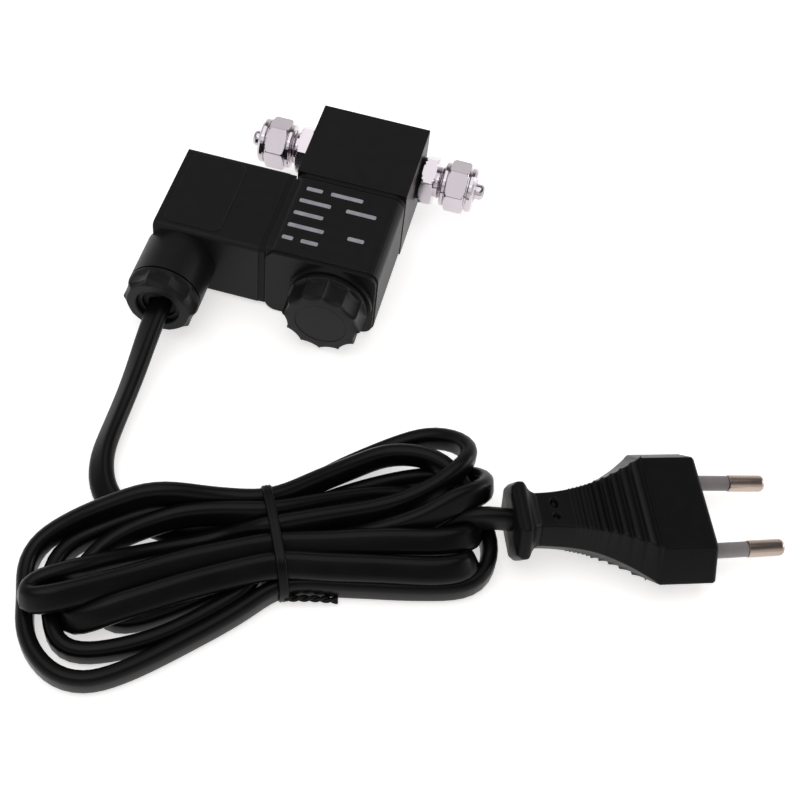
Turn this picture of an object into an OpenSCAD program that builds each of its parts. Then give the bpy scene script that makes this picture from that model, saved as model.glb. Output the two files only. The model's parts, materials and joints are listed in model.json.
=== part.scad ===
// Direct-acting solenoid valve for small gas lines: black body with two
// screw fittings, encapsulated coil, plug-in connector and mains lead.
// Millimetres, +Z up. The valve lies on its wide side, coil towards -Y.

/* [Valve body] */
// Width of the valve body across the ports
body_w = 29; // [28.5:0.5:31]
// Length of the valve body along the valve axis
body_l = 25.5; // [25:0.5:28]
// Thickness of body and coil, the height as it lies
block_h = 22; // [22:0.5:24]
// Distance of the port axis from the far end of the body
port_from_end = 6.9; // [6.7:0.1:7.3]
// Radius of the port bores
port_r = 4.85; // [4.7:0.05:5.0]
// Radius of the seat orifice
orifice_r = 0.8; // [0.5:0.1:1.2]
// Radius of the tapped mounting holes
mount_hole_r = 1.65; // [1.25:0.05:1.8]
// Distance between the two mounting holes
mount_spacing = 12; // [12:0.5:13]

/* [Coil] */
// Width of the coil across the valve
coil_w = 29; // [29:0.5:31]
// Length of the coil housing
coil_l = 27.5; // [27.5:0.5:29]
// Thickness of the sealing plate between coil and body
plate_t = 1.5; // [1.2:0.1:2]
// Distance of the valve axis from the right side of the coil
axis_from_right = 11.5; // [11.5:0.1:12]
// Corner radius of the coil outline
coil_corner = 3; // [2:0.5:3.5]

/* [Armature] */
// Outer radius of the armature tube
tube_r = 4.5; // [4.5:0.05:4.6]
// Air gap between plunger and fixed core, valve closed
air_gap = 1; // [0.8:0.1:1.2]
// Wire radius of the return spring
spring_wire_r = 0.3; // [0.2:0.05:0.35]
// Coils of the return spring
spring_turns = 8; // [6:1:10]

/* [Nuts] */
// Outer radius of the coil nut
coil_nut_r = 10.1; // [9.8:0.1:10.4]
// Number of grips around the coil nut
coil_nut_grips = 12; // [8:1:14]
// Outer radius of the cable gland nut
gland_nut_r = 9.2; // [9.1:0.1:9.6]
// Number of grips around the gland nut
gland_nut_grips = 10; // [8:1:12]

/* [Fittings] */
// Width across flats of fitting hexagon and nut
hex_af = 12; // [12:0.5:13]
// Radius of the tube stem
stem_r = 2; // [1.8:0.05:2.05]
// Radius of the bore through a fitting
fitting_bore_r = 1.25; // [0.8:0.05:1.4]
// How far a stem reaches from the body
fitting_reach = 17.5; // [17:0.5:20]

/* [Connector] */
// Length of the connector away from the coil
conn_l = 27.2; // [27:0.2:29]
// Width of the connector along the valve axis
conn_w = 28; // [28:0.5:29]
// Thickness of the connector
conn_h = 20.6; // [20.4:0.1:21]
// Thickness of the profile gasket
gasket_t = 1.7; // [1.4:0.1:2]
// Distance of the gland axis from the outer end of the connector
gland_from_end = 7; // [6.8:0.1:7.4]

/* [Lead and plug] */
// Width of the flat lead
lead_w = 6.4; // [6:0.1:6.6]
// Thickness of the flat lead
lead_t = 3.8; // [3.6:0.1:4]
// Lean of the lead's wide side in the gland, degrees: 0 is level
lead_lean = 25; // [0:5:90]
// Height of the bundled lead
hank_h = 10; // [9:0.5:11]
// Turn of the plug on the surface, degrees
plug_yaw = 21.5; // [20:0.5:23]
// Radius of the plug pins
pin_r = 2; // [1.95:0.01:2.05]

/* [Hidden] */
$fn = 64;
eps = 0.01;
mid_z = block_h / 2;
axis_x = coil_w - axis_from_right;
// stations along the valve, measured from the front face of the coil
plate_y0 = coil_l;
body_y0 = coil_l + plate_t;
body_y1 = body_y0 + body_l;
port_y = body_y1 - port_from_end;
// inside of the body, measured from its front face
flange_d = 2;
bore_d = 9;
chamber_d = 12.5;
seat_h = 2;
chamber_r = 6.2;
base_r = 7;
flange_r = 8.5;
seat_y = body_y0 + chamber_d - seat_h;
// armature tube
tube_in_r = tube_r - 0.4;
tube_front = -6.6;
core_y0 = tube_front + 1;
core_y1 = 14;
plunger_r = tube_in_r - 0.07;
plunger_y0 = core_y1 + air_gap;
plunger_y1 = seat_y - 0.6;
pocket_r = 2.5;
pocket_y = plunger_y0 + 10;
seal_r = 2.6;
seal_t = 2.6;
// coil nut and its washer, measured forward from the coil face
washer_t = 1.5;
washer_r = 10.8;
coil_nut_l = 7.7;
nut_front = washer_t + coil_nut_l;
// yoke and winding
yoke_t = 1.5;
yoke_y0 = 1.5;
yoke_y1 = coil_l - 1.5;
yoke_hx = 10.1;
yoke_hz = 7;
spool_r = 8.2;
spool_in = tube_r + 0.1;
spool_wall = 0.8;
winding_r = 7.9;
// fittings, distances from the side face of the body
seal_ring_t = 0.8;
hex_end = 4.4;
skirt_s = 6.4;
skirt_l = 1.3;
fit_thread_r = 4.4;
fit_thread_end = fitting_reach - 7;
nut_end = fitting_reach - 2.3;
nut_hex_end = nut_end - 2.1;
nut_wall = 1.7;
ferrule_l = 2.8;
// connector
conn_x1 = -gasket_t;
conn_x0 = conn_x1 - conn_l;
conn_yc = 14.5;
conn_y0 = conn_yc - conn_w / 2;
conn_y1 = conn_yc + conn_w / 2;
conn_z0 = mid_z - conn_h / 2;
conn_z1 = mid_z + conn_h / 2;
wall = 1.8;
gland_x = conn_x0 + gland_from_end;
boss_r = 9.2;
boss_l = 11.8;
neck_r = 7.6;
neck_l = 3.5;
gland_in_r = 5.6;
gland_y = conn_y0 - boss_l;
grommet_y0 = gland_y - neck_l;
grommet_y1 = conn_y0 - 6.5;
ring_t = 0.8;
gland_nut_l = 5.3;
gland_front = gland_y - 0.3 - gland_nut_l;
screw_head_r = 3;
// contact blades
blade_w = 6.3;
blade_t = 0.8;
blade_dz = 5.5;
blade_y = conn_yc + 4.5;
earth_y = conn_yc - 7;
blade_tip = -9.5;
// lead
lead_y0 = conn_y0 - 3.5;
// lead path from the gland down to the bundle: x, y, z
lead_path = [
    [-21.9, -3, 11],
    [-21.9, -8, 11],
    [-21.9, -13, 11],
    [-21.9, -18, 11],
    [-21.9, -23, 10.3],
    [-22, -28, 8.9],
    [-22.2, -33, 7.4],
    [-22.5, -38, 6.2],
    [-22.8, -43, 5.3],
    [-22.9, -48, 4.7],
    [-22.8, -53, 4.3],
    [-22.2, -58, 4],
    [-20.6, -63, 3.8],
    [-17.6, -67.5, 3.7],
    [-13.6, -71, 3.6],
    [-10.5, -73, 3.6]
];
// outline of the bundle seen from above, clockwise
hank_outline = [
    [-27, -90.5],
    [-28, -86],
    [-27, -81.5],
    [-24, -77.5],
    [-18.5, -72.5],
    [-9.5, -67.5],
    [4, -63],
    [14, -61.5],
    [24, -54.8],
    [31, -45],
    [38, -36],
    [44, -30.5],
    [50.5, -27],
    [56.5, -26.5],
    [62, -30],
    [66, -35],
    [69, -40],
    [70, -48],
    [71.5, -54.5],
    [72.5, -58.5],
    [71, -64.5],
    [67, -69],
    [58.5, -72.5],
    [48, -74],
    [38, -76],
    [30.5, -78.6],
    [26, -82.3],
    [21.5, -89.5],
    [17, -96],
    [10, -104],
    [2, -111.5],
    [-4.5, -114.5],
    [-10.5, -114.5],
    [-17.5, -110.5],
    [-21.5, -105.5],
    [-23.5, -100],
    [-24.5, -96]
];
tie_x = 24.3;
tie_y = -68.7;
tie_turn = -63;
tie_len = 24;
tie_w = 1.4;
// plug
plug_x = 116.2;
plug_y = -33.8;
plug_z = 6.84;
plug_lift = 4.4;
pin_turn = 1.66;
pin_half = 9.3;
// plug outline: distance behind the face, half width, half width of the flat, half height
plug_rings = [
    [0, 17.65, 12.2, 6.85],
    [13, 17.65, 12.2, 6.85],
    [15, 16, 11.2, 6.75],
    [18, 13.6, 9.6, 6.5],
    [22, 11, 7.8, 6.1],
    [26, 9, 6.4, 5.7],
    [31, 7.6, 5.2, 5.3],
    [37, 6.8, 4.5, 5],
    [39.5, 6.6, 4.4, 5]
];
// frame: middle of the valve's outline, without the lead, on the surface
x_max = body_w + fitting_reach;
x_min = gland_x - gland_nut_r;
y_max = body_y1;
y_min = gland_front;
ox = -(x_max + x_min) / 2;
oy = -(y_max + y_min) / 2;

// ---- helpers ----
module place() {
    translate([ox, oy, 0]) children();
}

module cyl_x(r, x0, x1, y, z) {
    translate([x0, y, z]) rotate([0, 90, 0]) cylinder(r = r, h = x1 - x0);
}

module cyl_y(r, y0, y1, x, z) {
    translate([x, y0, z]) rotate([-90, 0, 0]) cylinder(r = r, h = y1 - y0);
}

module box(x0, x1, y0, y1, z0, z1) {
    translate([x0, y0, z0]) cube([x1 - x0, y1 - y0, z1 - z0]);
}

// lathe profile of [radius, distance], turned about an axis along +X or +Y
module lathe_x(pts, x, y, z) {
    translate([x, y, z]) rotate([0, 90, 0]) rotate_extrude() polygon(pts);
}

module lathe_y(pts, x, y, z) {
    translate([x, y, z]) rotate([-90, 0, 0]) rotate_extrude() polygon(pts);
}

function arc(cx, cy, r, a0, a1, n) = [
    for (i = [0:n]) [cx + r * cos(a0 + (a1 - a0) * i / n), cy + r * sin(a0 + (a1 - a0) * i / n)]
];

// rectangle with round corners between two opposite corners
function round_rect(x0, x1, y0, y1, r, n = 6) = concat(
    arc(x1 - r, y1 - r, r, 0, 90, n),
    arc(x0 + r, y1 - r, r, 90, 180, n),
    arc(x0 + r, y0 + r, r, 180, 270, n),
    arc(x1 - r, y0 + r, r, 270, 360, n)
);

// block along +Y from a section of [x, z]
module block_y(sec, y0, y1) {
    translate([0, y1, 0]) rotate([90, 0, 0]) linear_extrude(y1 - y0) polygon(sec);
}

// block along +X from a section of [y, z]
module block_x(sec, x0, x1) {
    translate([x0, 0, 0]) rotate([90, 0, 90]) linear_extrude(x1 - x0) polygon(sec);
}

// ring of square section with cut corners, a seal between flat faces
function seal_section(r, w, t) = [
    [r - w / 2, t * 0.25], [r - w * 0.25, 0], [r + w * 0.25, 0], [r + w / 2, t * 0.25],
    [r + w / 2, t * 0.75], [r + w * 0.25, t], [r - w * 0.25, t], [r - w / 2, t * 0.75]
];

// hexagonal prism along +X with turned chamfers at both ends
module hex_x(s0, s1, af, clock, cham) {
    rc = af / 2 / cos(30);
    rb = rc - cham;
    cl = cham * 0.58;
    intersection() {
        translate([s0, 0, 0]) rotate([0, 90, 0]) rotate([0, 0, clock])
            cylinder(r = rc, h = s1 - s0, $fn = 6);
        translate([s0, 0, 0]) rotate([0, 90, 0]) rotate_extrude()
            polygon([[0, 0], [rb, 0], [rc + 0.05, cl], [rc + 0.05, s1 - s0 - cl],
                [rb, s1 - s0], [0, s1 - s0]]);
    }
}

// closed tube swept along points, one ring of offsets per point
module sweep(rings) {
    n = len(rings);
    m = len(rings[0]);
    polyhedron(
        points = [for (r = rings) for (p = r) p],
        faces = concat(
            [[for (j = [m - 1:-1:0]) j]],
            [for (i = [0:n - 2]) for (j = [0:m - 1])
                [i * m + j, i * m + (j + 1) % m, (i + 1) * m + j]],
            [for (i = [0:n - 2]) for (j = [0:m - 1])
                [i * m + (j + 1) % m, (i + 1) * m + (j + 1) % m, (i + 1) * m + j]],
            [[for (j = [0:m - 1]) (n - 1) * m + j]]
        )
    );
}

// ---- valve ----
module valve_body() {
    color([0.11, 0.11, 0.12]) difference() {
        box(0, body_w, body_y0, body_y1, 0, block_h);
        cyl_y(flange_r, body_y0 - 1, body_y0 + flange_d, axis_x, mid_z);
        cyl_y(base_r, body_y0, body_y0 + bore_d, axis_x, mid_z);
        difference() {
            cyl_y(chamber_r, body_y0 + bore_d - 1, body_y0 + chamber_d, axis_x, mid_z);
            lathe_y([[0, 0], [1.7, 0], [2.4, 1.2], [2.4, seat_h + 1], [0, seat_h + 1]],
                axis_x, seat_y, mid_z);
        }
        // orifice down from the seat, then right to the outlet
        cyl_y(orifice_r, seat_y - 1, port_y, axis_x, mid_z);
        cyl_x(1.2, axis_x - 0.9, body_w - 7.5, port_y, mid_z);
        // feed from the inlet up into the chamber
        cyl_x(1.2, 7.5, axis_x - 3.7, port_y, mid_z);
        cyl_y(1.1, body_y0 + chamber_d - 1, port_y, axis_x - 4.9, mid_z);
        cyl_x(port_r, -1, 8, port_y, mid_z);
        cyl_x(port_r, body_w - 8, body_w + 1, port_y, mid_z);
        for (s = [-1, 1])
            cyl_y(mount_hole_r, body_y1 - 6, body_y1 + 1, body_w / 2, mid_z + s * mount_spacing / 2);
    }
}

module armature_tube() {
    color([0.7, 0.7, 0.68]) difference() {
        union() {
            cyl_y(flange_r, body_y0, body_y0 + flange_d, axis_x, mid_z);
            cyl_y(base_r, body_y0 + flange_d - 0.5, body_y0 + bore_d - 1.2, axis_x, mid_z);
            cyl_y(tube_r, tube_front, body_y0 + 1, axis_x, mid_z);
        }
        cyl_y(tube_in_r, core_y0, body_y0 + bore_d, axis_x, mid_z);
    }
}

module tube_o_ring() {
    color([0.06, 0.06, 0.06])
        lathe_y(seal_section(6.3, 1.2, 1.2), axis_x, body_y0 + bore_d - 1.2, mid_z);
}

module fixed_core() {
    color([0.62, 0.62, 0.6]) difference() {
        cyl_y(tube_in_r, core_y0, core_y1, axis_x, mid_z);
        lathe_y([[2.6, 0], [3.3, 0], [3.3, 2], [2.6, 2]], axis_x, core_y1 - 1.2, mid_z);
    }
}

module shading_ring() {
    color([0.72, 0.42, 0.25])
        lathe_y([[2.6, 0], [3.3, 0], [3.3, 1.2], [2.6, 1.2]], axis_x, core_y1 - 1.2, mid_z);
}

module plunger() {
    color([0.66, 0.66, 0.64]) difference() {
        cyl_y(plunger_r, plunger_y0, plunger_y1, axis_x, mid_z);
        cyl_y(pocket_r, plunger_y0 - 1, pocket_y, axis_x, mid_z);
        cyl_y(seal_r, plunger_y1 - 2, plunger_y1 + 1, axis_x, mid_z);
        // two flats let the gas past
        for (s = [-1, 1])
            box(axis_x - 2.2, axis_x + 2.2, plunger_y0 - 1, plunger_y1 + 1,
                mid_z + s * (plunger_r + 1 - 0.4) - 1, mid_z + s * (plunger_r + 1 - 0.4) + 1);
    }
}

module plunger_seal() {
    color([0.08, 0.08, 0.08]) cyl_y(seal_r, seat_y - seal_t, seat_y, axis_x, mid_z);
}

// coil spring between the fixed core and the pocket of the plunger
module return_spring() {
    n = 12 * spring_turns;
    y0 = core_y1 + spring_wire_r;
    y1 = pocket_y - spring_wire_r;
    rr = 2.05 - spring_wire_r;
    color([0.75, 0.75, 0.73]) sweep([
        for (i = [0:n])
            let (a = 30 * i, y = y0 + (y1 - y0) * i / n)
            [for (j = [0:5])
                let (u = spring_wire_r * cos(60 * j), v = spring_wire_r * sin(60 * j))
                [axis_x + (rr + u) * sin(a), y + v, mid_z + (rr + u) * cos(a)]]
    ]);
}

// ---- coil ----
module coil_plate() {
    color([0.07, 0.07, 0.07]) difference() {
        block_y(round_rect(0.2, coil_w - 0.2, 0.2, block_h - 0.2, coil_corner), plate_y0, body_y0);
        cyl_y(tube_r + 0.1, plate_y0 - 1, body_y0 + 1, axis_x, mid_z);
    }
}

module blade_slots(grow) {
    for (s = [-1, 1])
        box(blade_tip - 1, 6, blade_y - blade_w / 2 - grow, blade_y + blade_w / 2 + grow,
            mid_z + s * blade_dz - blade_t / 2 - grow, mid_z + s * blade_dz + blade_t / 2 + grow);
    box(blade_tip - 1, 6, earth_y - blade_t / 2 - grow, earth_y + blade_t / 2 + grow,
        mid_z - blade_w / 2 - grow, mid_z + blade_w / 2 + grow);
}

module coil_housing() {
    color([0.09, 0.09, 0.1]) difference() {
        union() {
            block_y(round_rect(0.35, coil_w - 0.35, 0.35, block_h - 0.35, coil_corner), 0, coil_l);
            block_y(round_rect(0, coil_w, 0, block_h, coil_corner), 1.2, coil_l - 0.6);
            block_x(round_rect(1.2, coil_l - 0.6, 0.35, block_h - 0.35, 1), 0, 4);
        }
        cyl_y(tube_r + 0.1, -1, coil_l + 1, axis_x, mid_z);
        cyl_y(spool_r, yoke_y0 + yoke_t, yoke_y1 - yoke_t, axis_x, mid_z);
        box(axis_x - yoke_hx, axis_x + yoke_hx, yoke_y0, yoke_y1, mid_z - yoke_hz, mid_z + yoke_hz);
        blade_slots(0);
        cyl_x(2.6, -1, 5.5, conn_yc, mid_z);
    }
}

module yoke() {
    color([0.55, 0.56, 0.58]) difference() {
        box(axis_x - yoke_hx, axis_x + yoke_hx, yoke_y0, yoke_y1, mid_z - yoke_hz, mid_z + yoke_hz);
        box(axis_x - yoke_hx + yoke_t, axis_x + yoke_hx - yoke_t, yoke_y0 + yoke_t,
            yoke_y1 - yoke_t, mid_z - yoke_hz - 1, mid_z + yoke_hz + 1);
        cyl_y(tube_r + 0.1, yoke_y0 - 1, yoke_y1 + 1, axis_x, mid_z);
    }
}

module coil_bobbin() {
    color([0.85, 0.82, 0.72]) difference() {
        cyl_y(spool_r - 0.02, yoke_y0 + yoke_t, yoke_y1 - yoke_t, axis_x, mid_z);
        cyl_y(spool_in, yoke_y0, yoke_y1, axis_x, mid_z);
        difference() {
            cyl_y(spool_r + 1, yoke_y0 + yoke_t + 1, yoke_y1 - yoke_t - 1, axis_x, mid_z);
            cyl_y(spool_in + spool_wall, yoke_y0, yoke_y1, axis_x, mid_z);
        }
    }
}

module coil_winding() {
    color([0.72, 0.36, 0.16]) difference() {
        cyl_y(winding_r, yoke_y0 + yoke_t + 1, yoke_y1 - yoke_t - 1, axis_x, mid_z);
        cyl_y(spool_in + spool_wall, yoke_y0, yoke_y1, axis_x, mid_z);
    }
}

module line_blades() {
    color([0.78, 0.76, 0.7]) for (s = [-1, 1])
        box(blade_tip, 6, blade_y - blade_w / 2, blade_y + blade_w / 2,
            mid_z + s * blade_dz - blade_t / 2, mid_z + s * blade_dz + blade_t / 2);
}

module earth_blade() {
    color([0.78, 0.76, 0.7])
        box(blade_tip, 6, earth_y - blade_t / 2, earth_y + blade_t / 2,
            mid_z - blade_w / 2, mid_z + blade_w / 2);
}

module coil_insert() {
    color([0.78, 0.62, 0.3]) difference() {
        cyl_x(2.6, 0, 5.5, conn_yc, mid_z);
        cyl_x(1.55, -1, 5, conn_yc, mid_z);
    }
}

module coil_washer() {
    color([0.08, 0.08, 0.08]) difference() {
        cyl_y(washer_r, -washer_t, 0, axis_x, mid_z);
        cyl_y(tube_r + 0.35, -washer_t - 1, 1, axis_x, mid_z);
    }
}

module coil_nut() {
    color([0.08, 0.08, 0.08]) difference() {
        lathe_y([[0, 0], [coil_nut_r - 0.8, 0], [coil_nut_r, 0.6], [coil_nut_r, coil_nut_l],
            [0, coil_nut_l]], axis_x, -nut_front, mid_z);
        cyl_y(tube_r + 0.05, tube_front - 0.6, 1, axis_x, mid_z);
        for (i = [0:coil_nut_grips - 1])
            translate([axis_x, -nut_front - 1, mid_z]) rotate([-90, 0, 0])
                rotate([0, 0, (i + 0.5) * 360 / coil_nut_grips])
                    translate([coil_nut_r + 3.4, 0, 0]) cylinder(r = 4.1, h = nut_front - washer_t - 0.2);
        lathe_y([[6.4, -1], [6.8, -1], [6.8, 0.3], [6.4, 0.3]], axis_x, -nut_front, mid_z);
    }
}

// ---- fittings, drawn outward from a side face of the body ----
module at_outlet() {
    translate([body_w, port_y, mid_z]) children();
}

module at_inlet() {
    translate([0, port_y, mid_z]) mirror([1, 0, 0]) children();
}

module port_seal() {
    rotate([0, 90, 0]) rotate_extrude() polygon([[4.9, 0], [5.6, 0], [5.6, seal_ring_t], [4.9, seal_ring_t]]);
}

module port_seals() {
    color([0.1, 0.1, 0.1]) {
        at_outlet() port_seal();
        at_inlet() port_seal();
    }
}

module fitting() {
    color([0.78, 0.76, 0.78]) difference() {
        union() {
            cyl_x(port_r, -7.5, seal_ring_t + 1, 0, 0);
            hex_x(seal_ring_t, hex_end, hex_af, 53, 0.7);
            cyl_x(fit_thread_r, hex_end - 1, fit_thread_end, 0, 0);
            rotate([0, 90, 0]) rotate_extrude() polygon([
                [0, fit_thread_end - 1], [stem_r, fit_thread_end - 1],
                [stem_r, fitting_reach - 0.4], [stem_r - 0.3, fitting_reach], [0, fitting_reach]]);
        }
        cyl_x(fitting_bore_r, -8, fitting_reach + 1, 0, 0);
    }
}

module ferrule() {
    s0 = nut_end - nut_wall - ferrule_l;
    color([0.8, 0.64, 0.34]) rotate([0, 90, 0]) rotate_extrude() polygon([
        [3.1, s0], [3.5, s0], [4.05, s0 + 1], [4.05, s0 + ferrule_l - 0.7],
        [3.6, s0 + ferrule_l], [3.1, s0 + ferrule_l]]);
}

module tube_nut() {
    color([0.8, 0.77, 0.8]) difference() {
        union() {
            cyl_x(5.9, skirt_s, skirt_s + skirt_l + 0.5, 0, 0);
            hex_x(skirt_s + skirt_l, nut_hex_end, hex_af, 12, 1.0);
            rotate([0, 90, 0]) rotate_extrude() polygon([
                [0, nut_hex_end - 0.5], [5.9, nut_hex_end - 0.5], [5.9, nut_end - 0.6],
                [5.3, nut_end], [0, nut_end]]);
        }
        cyl_x(fit_thread_r + 0.05, skirt_s - 1, nut_end - nut_wall, 0, 0);
        cyl_x(3.2, nut_end - nut_wall - 1, nut_end + 1, 0, 0);
    }
}

module inlet_fitting() {
    at_inlet() fitting();
}

module inlet_ferrule() {
    at_inlet() ferrule();
}

module inlet_nut() {
    at_inlet() tube_nut();
}

module outlet_fitting() {
    at_outlet() fitting();
}

module outlet_ferrule() {
    at_outlet() ferrule();
}

module outlet_nut() {
    at_outlet() tube_nut();
}

// ---- connector ----
module conn_gasket() {
    color([0.09, 0.08, 0.08]) difference() {
        block_x(round_rect(conn_y0 + 0.2, conn_y1 - 0.2, conn_z0 + 0.1, conn_z1 - 0.1, 1), conn_x1, 0);
        blade_slots(0);
        cyl_x(2, conn_x1 - 1, 1, conn_yc, mid_z);
    }
}

module conn_housing() {
    color([0.09, 0.09, 0.1]) difference() {
        union() {
            block_x(round_rect(conn_y0, conn_y1, conn_z0, conn_z1, 1.2), conn_x0, conn_x1);
            cyl_y(boss_r, gland_y, conn_y0 + 1, gland_x, mid_z);
            cyl_y(neck_r, grommet_y0, gland_y + 1, gland_x, mid_z);
        }
        difference() {
            box(conn_x0 + wall, conn_x1 + 1, conn_y0 + wall, conn_y1 - wall,
                conn_z0 + wall, conn_z1 - wall);
            cyl_x(3.2, conn_x0, conn_x0 + 9, conn_yc, mid_z);
        }
        cyl_y(gland_in_r, grommet_y0 - 1, grommet_y1, gland_x, mid_z);
        cyl_y(4, grommet_y1 - 1, conn_y0 + wall + 1, gland_x, mid_z);
        cyl_x(1.85, conn_x0 - 1, conn_x0 + 10, conn_yc, mid_z);
        cyl_x(screw_head_r + 0.4, conn_x0 - 1, conn_x0 + 1.2, conn_yc, mid_z);
    }
}

block_x0 = conn_x0 + 9;
module terminal_block() {
    color([0.16, 0.16, 0.17]) difference() {
        box(block_x0, conn_x1, conn_y0 + wall, conn_y1 - wall, conn_z0 + wall, conn_z1 - wall);
        cyl_x(1.85, block_x0 - 1, conn_x1 + 1, conn_yc, mid_z);
        blade_slots(0.15);
        for (s = [-1, 1])
            box(block_x0 - 1, conn_x1 - 1.5, blade_y - 4, blade_y + 4,
                mid_z + s * blade_dz - 2.5, mid_z + s * blade_dz + 2.5);
        box(block_x0 - 1, conn_x1 - 1.5, earth_y - 2.2, earth_y + 2.2, mid_z - 4, mid_z + 4);
    }
}

// screw clamp that grips a blade, opening towards the coil
module clamp(turned) {
    difference() {
        if (turned)
            translate([block_x0 + 3, -2.2, -4]) cube([conn_x1 - 1.5 - block_x0 - 3, 4.4, 8]);
        else
            translate([block_x0 + 3, -4, -2.5]) cube([conn_x1 - 1.5 - block_x0 - 3, 8, 5]);
        if (turned)
            translate([blade_tip - 0.5, -blade_t / 2, -blade_w / 2])
                cube([20, blade_t, blade_w]);
        else
            translate([blade_tip - 0.5, -blade_w / 2, -blade_t / 2])
                cube([20, blade_w, blade_t]);
        // wire hole and the tapped hole of its screw
        translate([block_x0 + 2, 0, 0]) rotate([0, 90, 0]) cylinder(r = 1.15, h = 5);
        translate([block_x0 + 5.4, 0, 0]) rotate([turned ? 90 : 0, 0, 0])
            cylinder(r = 1.2, h = 8);
    }
}

module line_contacts() {
    color([0.8, 0.66, 0.36]) {
        translate([0, blade_y, mid_z + blade_dz]) clamp(false);
        translate([0, blade_y, mid_z - blade_dz]) mirror([0, 0, 1]) clamp(false);
    }
}

module earth_contact() {
    color([0.8, 0.66, 0.36]) translate([0, earth_y, mid_z]) clamp(true);
}

module small_screw(reach) {
    difference() {
        cylinder(r = 1.2, h = reach);
        translate([-2, -0.25, reach - 0.5]) cube([4, 0.5, 1]);
    }
}

module terminal_screws() {
    color([0.75, 0.75, 0.72]) {
        translate([block_x0 + 5.4, blade_y, mid_z + blade_dz + 1.1]) small_screw(1.4);
        translate([block_x0 + 5.4, blade_y, mid_z - blade_dz - 1.1]) rotate([180, 0, 0]) small_screw(1.4);
        translate([block_x0 + 5.4, earth_y - 0.8, mid_z]) rotate([90, 0, 0]) small_screw(1.4);
    }
}

// insulated core from the lead to its clamp, with the bared end in the wire hole
module core(side) {
    x0 = gland_x;
    z0 = mid_z + side * 1.6;
    z1 = mid_z + side * blade_dz;
    pts = [[x0, conn_y0 - 3.5, z0], [x0, 4, z0], [block_x0 - 3.4, 10, (z0 + z1) / 2],
        [block_x0 - 3.2, blade_y - 3, z1], [block_x0 - 1.6, blade_y - 0.4, z1],
        [block_x0 + 0.5, blade_y, z1], [block_x0 + 3, blade_y, z1]];
    sweep([for (i = [0:len(pts) - 1])
        let (a = pts[max(i - 1, 0)], b = pts[min(i + 1, len(pts) - 1)],
            d = (b - a) / norm(b - a), u = cross(d, [0, 0, 1]) / norm(cross(d, [0, 0, 1])),
            v = cross(d, u))
        [for (j = [0:9]) pts[i] + 1.05 * (-cos(36 * j) * u + sin(36 * j) * v)]]);
}

module core_brown() {
    color([0.36, 0.2, 0.1]) core(1);
}

module core_blue() {
    color([0.12, 0.3, 0.6]) core(-1);
}

module conn_screw() {
    color([0.72, 0.72, 0.7]) difference() {
        union() {
            cyl_x(1.5, conn_x0, 3.6, conn_yc, mid_z);
            lathe_x([[0, 0], [screw_head_r - 0.5, 0], [screw_head_r, 0.5], [screw_head_r, 2], [0, 2]],
                conn_x0 - 1.6, conn_yc, mid_z);
        }
        box(conn_x0 - 3, conn_x0 - 0.7, conn_yc - 0.4, conn_yc + 0.4, mid_z - 4, mid_z + 4);
    }
}

module conn_screw_washer() {
    color([0.1, 0.1, 0.1]) difference() {
        cyl_x(screw_head_r, conn_x0 + 0.4, conn_x0 + 1.2, conn_yc, mid_z);
        cyl_x(1.85, conn_x0 - 1, conn_x0 + 2, conn_yc, mid_z);
    }
}

// ---- gland ----
// section of the flat lead about its middle, [across, up]: the wide side leans from level, 0, to
// upright, 90, with its upper edge to the right seen from the front
function lead_section(g = 0, lean = 90) = [for (i = [0:11])
    let (a = 30 * i + 15, s = sin(a) > 0 ? 1 : -1, t = lean - 90,
        thin = (lead_t / 2 + g) * cos(a), wide = s * (lead_w - lead_t) / 2 + (lead_t / 2 + g) * sin(a))
    [thin * cos(t) - wide * sin(t), thin * sin(t) + wide * cos(t)]];

module gland_grommet() {
    color([0.13, 0.13, 0.13]) difference() {
        cyl_y(gland_in_r - 0.02, grommet_y0, grommet_y1, gland_x, mid_z);
        translate([gland_x, 0, mid_z]) block_y(lead_section(0.02, lead_lean), grommet_y0 - 1, grommet_y1 + 1);
    }
}

module gland_ring() {
    color([0.2, 0.2, 0.2]) difference() {
        cyl_y(7.2, grommet_y0 - ring_t, grommet_y0, gland_x, mid_z);
        cyl_y(4.4, grommet_y0 - 2, grommet_y0 + 1, gland_x, mid_z);
    }
}

module gland_nut() {
    color([0.09, 0.09, 0.09]) difference() {
        lathe_y([[0, 0], [gland_nut_r - 1.1, 0], [gland_nut_r, 1.1], [gland_nut_r, gland_nut_l],
            [0, gland_nut_l]], gland_x, gland_front, mid_z);
        cyl_y(neck_r + 0.05, grommet_y0 - ring_t, gland_y + 1, gland_x, mid_z);
        cyl_y(5.6, gland_front - 1, gland_y, gland_x, mid_z);
        for (i = [0:gland_nut_grips - 1])
            translate([gland_x, gland_front - 1, mid_z]) rotate([-90, 0, 0])
                rotate([0, 0, (i + 0.5) * 360 / gland_nut_grips])
                    translate([gland_nut_r + 2.1, 0, 0]) cylinder(r = 2.9, h = gland_nut_l + 3);
    }
}

// ---- lead ----
function unit(v) = v / norm(v);
function ring_at(p, d, lean) =
    let (s = unit(cross(d, [0, 0, 1])), u = cross(s, d))
    [for (q = lead_section(0, 180 - lean)) p + q[0] * s + q[1] * u];

module cord_lead() {
    n = len(lead_path);
    color([0.05, 0.05, 0.05]) sweep([for (i = [0:n - 1])
        let (d = i == 0 ? [0, -1, 0] : (i < n - 1 ? lead_path[i + 1] - lead_path[i - 1]
            : lead_path[i] - lead_path[i - 1]),
            // held by the grommet up to the fourth point, then turning upright
            lean = lead_lean + (90 - lead_lean) * max(0, i - 3) / (n - 4))
        ring_at(lead_path[i], unit(d), lean)]);
}

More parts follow.
